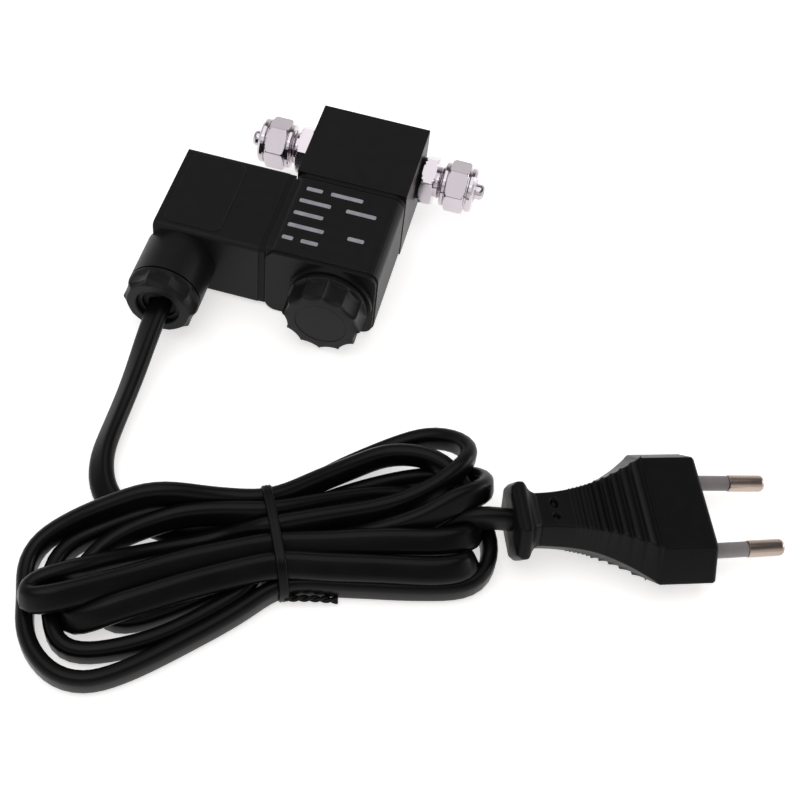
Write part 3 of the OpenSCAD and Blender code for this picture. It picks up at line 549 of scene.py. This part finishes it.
def six_sided(hw, hf, hh, corner, flat_steps):
    """A six-sided section with round corners, as (y, z): flats of half width hf at heights hh
    above and below, cut into flat_steps, and corners at half width hw."""
    corners = [(hf, hh), (-hf, hh), (-hw, 0), (-hf, -hh), (hf, -hh), (hw, 0)]
    points = []
    for k, c in enumerate(corners):
        before, after = Vector(corners[k - 1]), Vector(corners[(k + 1) % 6])
        c = Vector(c)
        u, v = (before - c).normalized(), (after - c).normalized()
        half = u.angle(v) / 2
        reach = corner / math.tan(half)
        centre = c + (u + v).normalized() * corner / math.sin(half)
        a, b = c + u * reach - centre, c + v * reach - centre
        for t in (0, 0.25, 0.5, 0.75, 1):
            w = (a * (1 - t) + b * t).normalized() * corner
            points.append(tuple(centre + w))
        if k in (0, 3):
            start, end = Vector(points[-1]), after - (after - c).normalized() * reach
            for s in range(1, flat_steps):
                points.append(tuple(start.lerp(end, s / flat_steps)))
    return points


def loft(name, stations, section_at, shape=lambda x, y, z: (x, y, z)):
    """A closed skin through sections at distances behind the plug's face."""
    verts, faces = [], []
    for d in stations:
        section = section_at(d)
        n = len(section)
        verts += [plug_place(*shape(-d, y, z)) for y, z in section]
    for k in range(len(stations) - 1):
        for m in range(n):
            o = (m + 1) % n
            faces.append((k * n + m, (k + 1) * n + m, (k + 1) * n + o, k * n + o))
    last = (len(stations) - 1) * n
    faces += [tuple(range(n)), tuple(last + m for m in range(n))[::-1]]
    return new_object(name, verts, faces)


def plug_shape(x, y, z):
    """The ribs and the two recesses of the plug's flats."""
    _, hf, hh = between(PLUG_RINGS, -x)
    if abs(z) > hh - 0.35 and abs(y) < hf + 0.15:
        z += math.copysign(rib_height(-x), z)
        if z > 0:
            for at, across, length, width in RECESSES:
                r = math.hypot((-x - at) / length, (y - across) / width)
                z -= RECESS_DEPTH * (1 - min(1, max(0, (r - 0.8) / 0.25)))
    return x, y, z


def plug_section(d):
    """The body's section at a distance behind the face."""
    draw = FACE_EDGE * max(0, 1 - d / FACE_EDGE_DEPTH)
    hw, hf, hh = between(PLUG_RINGS, d)
    return six_sided(hw - draw, hf - draw, hh - draw, 0.6, 26)


def collar_section(d):
    return six_sided(*next(r[1:] for r in COLLAR_RINGS if r[0] == d), 1.0, 6)


# sections close together where the ribs and recesses are, wider apart before them
STATIONS = [0, 0.1, 0.25, 0.5] + [0.5 + 0.5 * k for k in range(1, 25)]
STATIONS += [12.8 + 0.16 * k for k in range(160) if 12.8 + 0.16 * k < 39.0] + [39.2, 39.5]
plug_shell = loft("plug_shell", STATIONS, plug_section, plug_shape)
plug_collar = loft("plug_collar_rim", [r[0] for r in COLLAR_RINGS], collar_section)
for piece, node in ((plug_shell, "plug_body"), (plug_collar, "plug_collar")):
    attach(piece, "valve")
    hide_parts(node)

# half the pins' spacing at the face, and how far each turns in towards the other, degrees
PIN_HALF, PIN_TURN = 9.3, 1.66
# radius, length out of the face and the tip's rounding
PIN_R, PIN_END, PIN_ROUND = 2, 19, 1.1
SLEEVE_R, SLEEVE_END = 1.82, 10


def pin_part(name, side, profile):
    """A turned part of one pin: profile is measured out of the plug's face."""
    tilt = math.radians(PIN_TURN)
    axis = PLUG_TURN @ Vector((math.cos(tilt), -side * math.sin(tilt), 0))
    across = axis.cross(Vector((0, 0, 1))).normalized()
    at = PLUG_TURN @ Vector((0, side * PIN_HALF, 0)) + PLUG_AT
    return turned(name, profile, at, (axis, across, axis.cross(across)), sides=48)


def make_pins():
    """The two metal pins and their two grey sleeves."""
    pin = [(-9.5, 0), (-9.5, 1.45), (SLEEVE_END, 1.45), (SLEEVE_END, PIN_R - 0.12)]
    pin += [(SLEEVE_END + 0.12, PIN_R)]
    for a in np.linspace(0, QUARTER, 8):
        pin.append((PIN_END - PIN_ROUND * (1 - math.sin(a)), PIN_R - PIN_ROUND * (1 - math.cos(a))))
    pin.append((PIN_END, 0))
    end = SLEEVE_END - 0.02
    sleeve = [(-0.9, 1.5), (-0.9, SLEEVE_R), (end - 0.18, SLEEVE_R)]
    sleeve += [(end, SLEEVE_R - 0.15), (end, 1.5)]
    pieces = []
    for name, side in (("near", -1), ("far", 1)):
        obj = pin_part("pin_" + name, side, pin)
        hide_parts("plug_pin_" + name)
        pieces.append(obj)
    sleeves = join("pin_sleeves", [pin_part("sleeve", side, sleeve) for side in (-1, 1)])
    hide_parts("plug_sleeves")
    pieces.append(sleeves)
    for piece in pieces:
        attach(piece, "valve")
    return pieces


pin_pieces = make_pins()

# ---------------------------------------------------------------- fittings and nuts
COIL_AXIS, GLAND_AXIS = (17.5, 0, 11), (-21.9, 0, 11)
PORTS = {"inlet": ((0, 47.6, 11), "left"), "outlet": ((29, 47.6, 11), "right")}


def hexagon(angle, across_flats, normal):
    """The radius of a hexagon with one flat facing the normal angle, degrees."""
    a = (math.degrees(angle) - normal + 30) % 60 - 30
    return across_flats / 2 / math.cos(math.radians(a))


def scallop(angle, count, depth, phase=0.5, power=0.7):
    """How deep the grips' hollows are at an angle: zero on the ridges, which are narrow."""
    t = (angle / (2 * math.pi) * count - phase) % 1
    return depth * abs(math.cos(math.pi * t)) ** power


# hexagons across flats, and which way a flat of the base and of the nut faces, degrees
HEX_AF, BASE_NORMAL, NUT_NORMAL = 12, 53, 12
HEX_CORNER = HEX_AF / 2 / math.cos(math.radians(30))
# the rest is measured out from the valve body's face, mm
HEX_START, HEX_END, REACH = 0.8, 4.4, 17.5
THREAD_START, THREAD_END, THREAD_R, THREAD_PITCH, THREAD_DEPTH = 5.3, 10.5, 4.4, 0.75, 0.34
STEM_R, BORE_R = 2, 1.25
SKIRT_START, NUT_HEX_START, NUT_HEX_END, NUT_END, NUT_DOME = 6.4, 7.7, 13.1, 15.2, 0.95


def fitting_reshape(angle, s, r):
    """The fitting's hexagon and its thread."""
    if HEX_START - 0.01 <= s <= HEX_END + 0.01 and r > 5:
        return min(r, hexagon(angle, HEX_AF, BASE_NORMAL))
    if HEX_END + 0.5 < s < THREAD_END - 0.6 and r > THREAD_R - 0.1:
        wave = (s / THREAD_PITCH + angle / (2 * math.pi)) % 1
        return r - THREAD_DEPTH * (1 - abs(2 * wave - 1))
    return r


def make_fitting(port):
    """A port's hexagon, thread for the tube nut and tube stem, with the bore through it."""
    at, facing = PORTS[port]
    body = [(-7.5, BORE_R), (-7.5, 4.4), (-7.2, 4.85), (HEX_START, 4.85)]
    body += [(HEX_START, HEX_CORNER - 0.75), (HEX_START + 0.42, HEX_CORNER + 0.02)]
    body += [(HEX_END - 0.42, HEX_CORNER + 0.02), (HEX_END, HEX_CORNER - 0.75)]
    body += [(HEX_END, 4.1), (HEX_END + 0.6, 4.1), (THREAD_START, THREAD_R)]
    body += [(THREAD_START + 0.06 * k, THREAD_R) for k in range(1, 83)]
    body += [(THREAD_END, THREAD_R - 0.5), (THREAD_END, STEM_R), (REACH - 1.2, STEM_R + 0.1)]
    body += [(REACH - 0.9, STEM_R + 0.12), (REACH - 0.5, STEM_R), (REACH - 0.15, STEM_R - 0.2)]
    body += [(REACH, STEM_R - 0.45), (REACH, BORE_R)]
    name = port + "_fitting_body"
    obj = turned(name, finely(body, 0.6), at, AXES[facing], fitting_reshape)
    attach(obj, "valve")
    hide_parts(port + "_fitting")


def nut_reshape(angle, s, r):
    """The union nut's hexagon."""
    if NUT_HEX_START - 0.01 <= s <= NUT_HEX_END + 0.01 and r > 5.5:
        return min(r, hexagon(angle, HEX_AF, NUT_NORMAL))
    return r


def make_nut(port):
    """A port's union nut: skirt, hexagon with rounded ends, and end ring."""
    at, facing = PORTS[port]
    body = [(SKIRT_START, 4.45), (SKIRT_START, 5.6), (SKIRT_START + 0.25, 5.9)]
    body += [(NUT_HEX_START - 0.35, 5.9), (NUT_HEX_START - 0.1, 5.6), (NUT_HEX_START, 5.6)]
    for end, way, turns in ((NUT_HEX_START, 1, (0, QUARTER)), (NUT_HEX_END, -1, (QUARTER, 0))):
        for a in np.linspace(*turns, 9):
            drop = NUT_DOME * (1 - math.cos(a))
            body.append((end + way * drop, 5.75 + (HEX_CORNER - 5.7) * math.sin(a)))
    body += [(NUT_HEX_END, 5.45), (NUT_HEX_END + 0.25, 5.45), (NUT_HEX_END + 0.35, 5.8)]
    body += [(NUT_HEX_END + 0.6, 5.95), (NUT_END - 0.7, 5.95), (NUT_END - 0.2, 5.6), (NUT_END, 5.2)]
    body += [(NUT_END, 3.5), (NUT_END - 0.3, 3.2), (NUT_END - 1.7, 3.2), (NUT_END - 1.7, 4.45)]
    obj = turned(port + "_cap_nut", finely(body, 0.5), at, AXES[facing], nut_reshape)
    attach(obj, port + "_nut")
    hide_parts(port + "_nut")


for port in PORTS:
    make_fitting(port)
    make_nut(port)

COIL_NUT_R, COIL_NUT_FRONT, COIL_NUT_BACK = 10.1, 9.2, 1.5
RIM_R, RIM_BACK = 9.9, 3.0
GLAND_R, GLAND_FRONT, GLAND_BACK = 9.2, 16.9, 11.6


def coil_nut_reshape(angle, s, r):
    """The coil nut's twelve grip hollows, in front of its plain rim."""
    if s > RIM_BACK + 0.05 and r > 7.6:
        ease = min(1, (s - RIM_BACK) / 0.5)
        return r - scallop(angle, 12, 0.95, power=0.6) * ease * min(1, (r - 7.6) / 1.5)
    return r


def make_coil_nut():
    """The hand nut that holds the coil, with a shallow ring on its face."""
    f, back = COIL_NUT_FRONT, COIL_NUT_BACK
    body = [(7.2, 0), (7.2, 4.55), (back, 4.55), (back, RIM_R - 0.3), (back + 0.25, RIM_R)]
    body += [(RIM_BACK - 0.3, RIM_R), (RIM_BACK, RIM_R - 0.25), (RIM_BACK + 0.01, COIL_NUT_R)]
    body += [(f - 0.9, COIL_NUT_R), (f - 0.5, COIL_NUT_R - 0.08), (f - 0.2, COIL_NUT_R - 0.3)]
    body += [(f - 0.08, COIL_NUT_R - 0.6), (f, 6.7), (f - 0.16, 6.62), (f - 0.16, 6.45)]
    body += [(f - 0.08, 6.35), (f - 0.05, 3), (f - 0.05, 0)]
    line = finely(body, 0.45, closed=False)
    obj = turned("coil_hand_nut", line, COIL_AXIS, AXES["front"], coil_nut_reshape, 240, 30)
    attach(obj, "coil_nut")
    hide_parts("coil_nut")


def gland_reshape(angle, s, r):
    """The gland nut's ten grip hollows."""
    if s > GLAND_BACK + 0.9 and r > 7.9:
        ease = min(1, (s - GLAND_BACK - 0.9) / 0.5)
        return r - scallop(angle, 10, 0.85, power=0.8) * ease * min(1, (r - 7.9) / 1.0)
    return r


def make_gland_nut():
    """The nut that closes the lead's gland, open in the middle for the lead."""
    f, back = GLAND_FRONT, GLAND_BACK
    body = [(back, 7.65), (back, 8.9), (back + 0.25, GLAND_R), (f - 1.3, GLAND_R)]
    body += [(f - 0.8, GLAND_R - 0.35), (f - 0.15, GLAND_R - 1.1), (f, GLAND_R - 1.4), (f, 5.9)]
    body += [(f - 0.25, 5.6), (15.6, 5.6), (15.6, 7.65)]
    line = finely(body, 0.45)
    obj = turned("gland_cap_nut", line, GLAND_AXIS, AXES["front"], gland_reshape, 240, 30)
    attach(obj, "gland_nut")
    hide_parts("gland_nut")


make_coil_nut()
make_gland_nut()

# ---------------------------------------------------------------- the return spring
SPRING_WIRE, SPRING_TURNS = 0.3, 8  # the wire's radius, mm, and the number of turns


def make_spring():
    """The plunger's return spring, and where its two ends are along y."""
    low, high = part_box("return_spring")
    x, z = (low[0] + high[0]) / 2, (low[2] + high[2]) / 2
    wire = SPRING_WIRE * MM
    ring = (high[0] - low[0]) / 2 - wire
    steps, sides = 36 * SPRING_TURNS, 12
    verts, faces = [], []
    for k in range(steps + 1):
        a = 2 * math.pi * SPRING_TURNS * k / steps
        y = low[1] + wire + (high[1] - low[1] - 2 * wire) * k / steps
        for b in np.linspace(0, 2 * math.pi, sides, endpoint=False):
            r = ring + wire * math.cos(b)
            verts.append((x + r * math.sin(a), y + wire * math.sin(b), z + r * math.cos(a)))
    for k in range(steps):
        here, there = k * sides, (k + 1) * sides
        for m in range(sides):
            o = (m + 1) % sides
            faces.append((here + m, here + o, there + o, there + m))
    faces += [tuple(range(sides))[::-1], tuple(steps * sides + m for m in range(sides))]
    obj = new_object("plunger_spring", verts, faces)
    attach(obj, "valve")
    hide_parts("return_spring")
    return obj, low[1], high[1]


spring, spring_from, spring_to = make_spring()
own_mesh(spring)

# ---------------------------------------------------------------- coil label and connector panel
COIL_TOP, PANEL_TOP = 22, 21.3  # heights of the upper faces they lie on
# printed marks in rows: start, end and middle of each, mm from the coil's front left corner
LABEL_BARS = [
    (4.0, 8.2, 23.6), (10.4, 18.8, 23.6), (3.4, 11.6, 19.2), (15.6, 23.4, 19.2),
    (3.2, 10.8, 14.8), (3.0, 12.2, 10.4), (18.4, 22.6, 10.4), (2.8, 5.6, 6.0), (7.6, 12.0, 6.0),
]
BAR_H, INK_T = 1.25, 0.05
PANEL, PANEL_R, PANEL_T = (-27.2, -12.5, 2.6, 26.8), 2.2, 0.22


def plate(name, outline, height, top):
    """A thin raised plate with softly sloped edges on an upward face at height top."""
    n = len(outline)
    cx, cy = sum(p[0] for p in outline) / n, sum(p[1] for p in outline) / n
    verts = []
    for inset, z in ((0.0, -0.05), (0.0, height * 0.6), (min(0.12, height), height)):
        for x, y in outline:
            d = Vector((cx - x, cy - y)).normalized() * inset
            verts.append(place(x + d.x, y + d.y, top + z))
    faces = [
        (k * n + m, k * n + (m + 1) % n, (k + 1) * n + (m + 1) % n, (k + 1) * n + m)
        for k in range(2)
        for m in range(n)
    ]
    faces += [tuple(2 * n + m for m in range(n)), tuple(range(n))[::-1]]
    return new_object(name, verts, faces, smooth=False)


def round_rect(x0, x1, y0, y1, r, steps=6):
    """The outline of a rectangle with round corners, anticlockwise."""
    corners = ((x1 - r, y1 - r), (x0 + r, y1 - r), (x0 + r, y0 + r), (x1 - r, y0 + r))
    out = []
    for turn, (cx, cy) in enumerate(corners):
        for k in range(steps + 1):
            a = math.radians(90 * turn + 90 * k / steps)
            out.append((cx + r * math.cos(a), cy + r * math.sin(a)))
    return out


bars = []
for start, end, middle in LABEL_BARS:
    outline = round_rect(start, end, middle - BAR_H / 2, middle + BAR_H / 2, 0.35, 3)
    bars.append(plate("bar", outline, INK_T, COIL_TOP))
label = join("coil_label", bars)
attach(label, "valve")

panel = plate("connector_panel", round_rect(*PANEL, PANEL_R), PANEL_T, PANEL_TOP)
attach(panel, "valve")

# ---------------------------------------------------------------- finishes
# base colour, roughness, metallic, specular level, grain size mm, bump mm, colour change, wear
FINISHES = {
    "anodised_black": ((0.0075, 0.0070, 0.0072), 0.36, 0.0, 0.20, 0.3, 0.010, 0.06, 0.08),
    "nickel": ((0.62, 0.57, 0.61), 0.15, 1.0, 0.5, 1.2, 0.004, 0.05, 0.0),
    "brass": ((0.72, 0.50, 0.20), 0.28, 1.0, 0.5, 0.8, 0.006, 0.15, 0.0),
    "stainless": ((0.55, 0.54, 0.53), 0.28, 1.0, 0.5, 0.6, 0.005, 0.12, 0.0),
    "copper": ((0.68, 0.32, 0.18), 0.3, 1.0, 0.5, 0.6, 0.005, 0.15, 0.0),
    "winding": ((0.50, 0.19, 0.07), 0.35, 0.6, 0.5, 0.3, 0.02, 0.25, 0.0),
    "yoke_steel": ((0.42, 0.43, 0.45), 0.4, 1.0, 0.5, 0.6, 0.01, 0.2, 0.0),
    "zinc_screw": ((0.58, 0.57, 0.54), 0.3, 1.0, 0.5, 0.5, 0.006, 0.15, 0.0),
    "tinned": ((0.62, 0.59, 0.53), 0.35, 1.0, 0.5, 0.6, 0.006, 0.12, 0.0),
    "coil_plastic": ((0.0070, 0.0068, 0.0076), 0.42, 0.0, 0.15, 0.16, 0.010, 0.06, 0.08),
    "bobbin_plastic": ((0.62, 0.55, 0.40), 0.5, 0.0, 0.5, 0.5, 0.01, 0.1, 0.0),
    "nut_plastic": ((0.006, 0.006, 0.006), 0.5, 0.0, 0.15, 0.2, 0.012, 0.1, 0.06),
    "seal_rubber": ((0.0055, 0.0052, 0.0052), 0.6, 0.0, 0.15, 0.25, 0.015, 0.15, 0.0),
    "core_brown_pvc": ((0.10, 0.035, 0.012), 0.4, 0.0, 0.5, 0.5, 0.01, 0.15, 0.0),
    "core_blue_pvc": ((0.02, 0.08, 0.28), 0.4, 0.0, 0.5, 0.5, 0.01, 0.15, 0.0),
    "cord_pvc": ((0.0034, 0.0032, 0.0036), 0.33, 0.0, 0.14, 0.5, 0.008, 0.15, 0.0),
    "plug_pvc": ((0.0045, 0.0044, 0.0047), 0.38, 0.0, 0.12, 0.2, 0.010, 0.08, 0.06),
    "sleeve_plastic": ((0.23, 0.205, 0.21), 0.42, 0.0, 0.5, 0.5, 0.006, 0.1, 0.0),
    "pin_metal": ((0.44, 0.36, 0.31), 0.26, 1.0, 0.5, 0.7, 0.006, 0.15, 0.0),
    "label_ink": ((0.34, 0.33, 0.37), 0.55, 0.0, 0.4, 0.15, 0.01, 0.15, 0.0),
}


WORN, EDGE_RUB = (0.22, 0.2, 0.2), 0.35  # colour of rubbed edges, and their width, mm


def finish(name, colour, rough, metal, specular, grain, bump, change, wear):
    """A procedural finish: mottled colour and roughness, fine bump, and edges rubbed lighter."""
    mat = bpy.data.materials.new(name)
    mat.use_nodes = True
    nodes, links = mat.node_tree.nodes, mat.node_tree.links
    shader = nodes["Principled BSDF"]
    shader.inputs["Metallic"].default_value = metal
    shader.inputs["Specular IOR Level"].default_value = specular
    where = nodes.new("ShaderNodeTexCoord")

    def noise(size, detail):
        node = nodes.new("ShaderNodeTexNoise")
        node.inputs["Scale"].default_value = 1 / (size * MM)
        node.inputs["Detail"].default_value = detail
        links.new(where.outputs["Object"], node.inputs["Vector"])
        return node.outputs["Fac"]

    def spread(fac, low, high):
        node = nodes.new("ShaderNodeMapRange")
        node.inputs["From Min"].default_value, node.inputs["From Max"].default_value = 0.3, 0.7
        node.inputs["To Min"].default_value, node.inputs["To Max"].default_value = low, high
        links.new(fac, node.inputs["Value"])
        return node.outputs["Result"]

    def mix(fac, a, b):
        node = nodes.new("ShaderNodeMix")
        node.data_type = "RGBA"
        for socket, value in (("A_Color", a), ("B_Color", b)):
            target = next(i for i in node.inputs if i.identifier == socket)
            if hasattr(value, "links"):
                links.new(value, target)
            else:
                target.default_value = (*value, 1)
        links.new(fac, next(i for i in node.inputs if i.identifier == "Factor_Float"))
        return next(o for o in node.outputs if o.identifier == "Result_Color")

    patches, fine = noise(grain * 14, 3), noise(grain, 4)
    dark = tuple(c * (1 - change) for c in colour)
    light = tuple(min(1, c * (1 + change)) for c in colour)
    colour_out = mix(spread(patches, 0, 1), dark, light)
    rough_out = spread(patches, rough * 0.95, rough * 1.05)
    if wear:
        bevel = nodes.new("ShaderNodeBevel")
        bevel.samples = 4
        bevel.inputs["Radius"].default_value = EDGE_RUB * MM
        geometry = nodes.new("ShaderNodeNewGeometry")
        dot = nodes.new("ShaderNodeVectorMath")
        dot.operation = "DOT_PRODUCT"
        links.new(bevel.outputs["Normal"], dot.inputs[0])
        links.new(geometry.outputs["Normal"], dot.inputs[1])
        edge = nodes.new("ShaderNodeMapRange")
        edge.inputs["From Min"].default_value, edge.inputs["From Max"].default_value = 0.995, 0.8
        edge.inputs["To Max"].default_value = wear
        links.new(dot.outputs["Value"], edge.inputs["Value"])
        colour_out = mix(edge.outputs["Result"], colour_out, WORN)
    links.new(colour_out, shader.inputs["Base Color"])
    links.new(rough_out, shader.inputs["Roughness"])
    relief = nodes.new("ShaderNodeBump")
    relief.inputs["Distance"].default_value = bump * MM
    relief.inputs["Strength"].default_value = 1.0
    links.new(fine, relief.inputs["Height"])
    links.new(relief.outputs["Normal"], shader.inputs["Normal"])
    return mat


MATERIALS = {name: finish(name, *values) for name, values in FINISHES.items()}


NODE_SLOT = {s["node"]: s["material_slot"] for s in frame["record"]["subparts"]}
for name, obj in NODES.items():
    for holder in obj.material_slots:
        holder.material = MATERIALS[NODE_SLOT[name]]

PIECE_SLOT = {
    "cord_pvc": ["lead", "twist_tie"],
    "plug_pvc": ["plug_shell", "plug_collar_rim"],
    "pin_metal": ["pin_near", "pin_far"],
    "sleeve_plastic": ["pin_sleeves"],
    "nickel": ["inlet_fitting_body", "outlet_fitting_body", "inlet_cap_nut", "outlet_cap_nut"],
    "coil_plastic": ["coil_hand_nut", "gland_cap_nut", "connector_panel"],
    "stainless": ["plunger_spring"],
    "label_ink": ["coil_label"],
}
for slot, names in PIECE_SLOT.items():
    for name in names:
        data = bpy.data.objects[name].data
        data.materials.clear()
        data.materials.append(MATERIALS[slot])

# radius of the rounded edges on the boxy CAD pieces, mm
EDGE_R = {
    "valve_body": 0.25, "coil_housing": 0.15, "coil_plate": 0.12, "conn_housing": 0.5,
    "conn_gasket": 0.2,
}
for name, radius in EDGE_R.items():
    bevel = NODES[name].modifiers.new("edges", "BEVEL")
    bevel.width, bevel.segments = radius * MM, 3
    bevel.limit_method, bevel.angle_limit = "ANGLE", math.radians(40)
    bevel.harden_normals = True

# ---------------------------------------------------------------- studio


FLOOR_HALF, FLOOR_GLOW = 3, 0.6  # metres; a light table, so it glows a little
WARM = (1, 0.985, 0.975, 1)


def make_floor():
    """A plain white floor just under the part."""
    corners = [(FLOOR_HALF * x, FLOOR_HALF * y, 0) for x, y in ((-1, -1), (1, -1), (1, 1), (-1, 1))]
    floor = new_object("floor", corners, [(0, 1, 2, 3)])
    floor.location.z = -0.0002
    mat = bpy.data.materials.new("floor")
    mat.use_nodes = True
    shader = mat.node_tree.nodes["Principled BSDF"]
    shader.inputs["Base Color"].default_value = (0.9, 0.9, 0.9, 1)
    shader.inputs["Roughness"].default_value = 0.6
    shader.inputs["Emission Color"].default_value = WARM
    shader.inputs["Emission Strength"].default_value = FLOOR_GLOW
    floor.data.materials.append(mat)


def area_light(name, at, towards, size, power):
    """A square soft light; places in row-frame metres."""
    data = bpy.data.lights.new(name, "AREA")
    data.shape, data.size, data.energy = "SQUARE", size, power
    light = bpy.data.objects.new(name, data)
    bpy.context.scene.collection.objects.link(light)
    light.location = at
    light.rotation_mode = "QUATERNION"
    light.rotation_quaternion = (Vector(towards) - Vector(at)).to_track_quat("-Z", "Y")
    return light


make_floor()
area_light("overhead", (-0.15, 0.0, 1.3), (0.0, -0.03, 0), 1.4, 8)
area_light("right", (1.3, 0.5, 0.35), (0.02, 0, 0.01), 0.7, 5)
# a small light beside the camera, for the faces that look at it
card = area_light("card", place(-40, -205, 320), place(15, 47, 15), 0.2, 0.12)
card.visible_camera = False

# the world: a white backdrop low down all round, and a dim room above, by the sine of the height
BACKDROP, ROOM, BACKDROP_TOP, ROOM_FROM = 0.8, 0.07, 0.3, 0.75
world = bpy.data.worlds.new("world")
bpy.context.scene.world = world
world.use_nodes = True
wn, wl = world.node_tree.nodes, world.node_tree.links
direction = wn.new("ShaderNodeTexCoord")
split = wn.new("ShaderNodeSeparateXYZ")
height = wn.new("ShaderNodeMapRange")
height.interpolation_type = "SMOOTHSTEP"
for name, value in (
    ("From Min", BACKDROP_TOP), ("From Max", ROOM_FROM), ("To Min", BACKDROP), ("To Max", ROOM),
):
    height.inputs[name].default_value = value
wl.new(direction.outputs["Generated"], split.inputs["Vector"])
wl.new(split.outputs["Z"], height.inputs["Value"])
wn["Background"].inputs["Color"].default_value = (1, 0.985, 0.98, 1)
wl.new(height.outputs["Result"], wn["Background"].inputs["Strength"])
bpy.context.scene.view_settings.view_transform = "Standard"
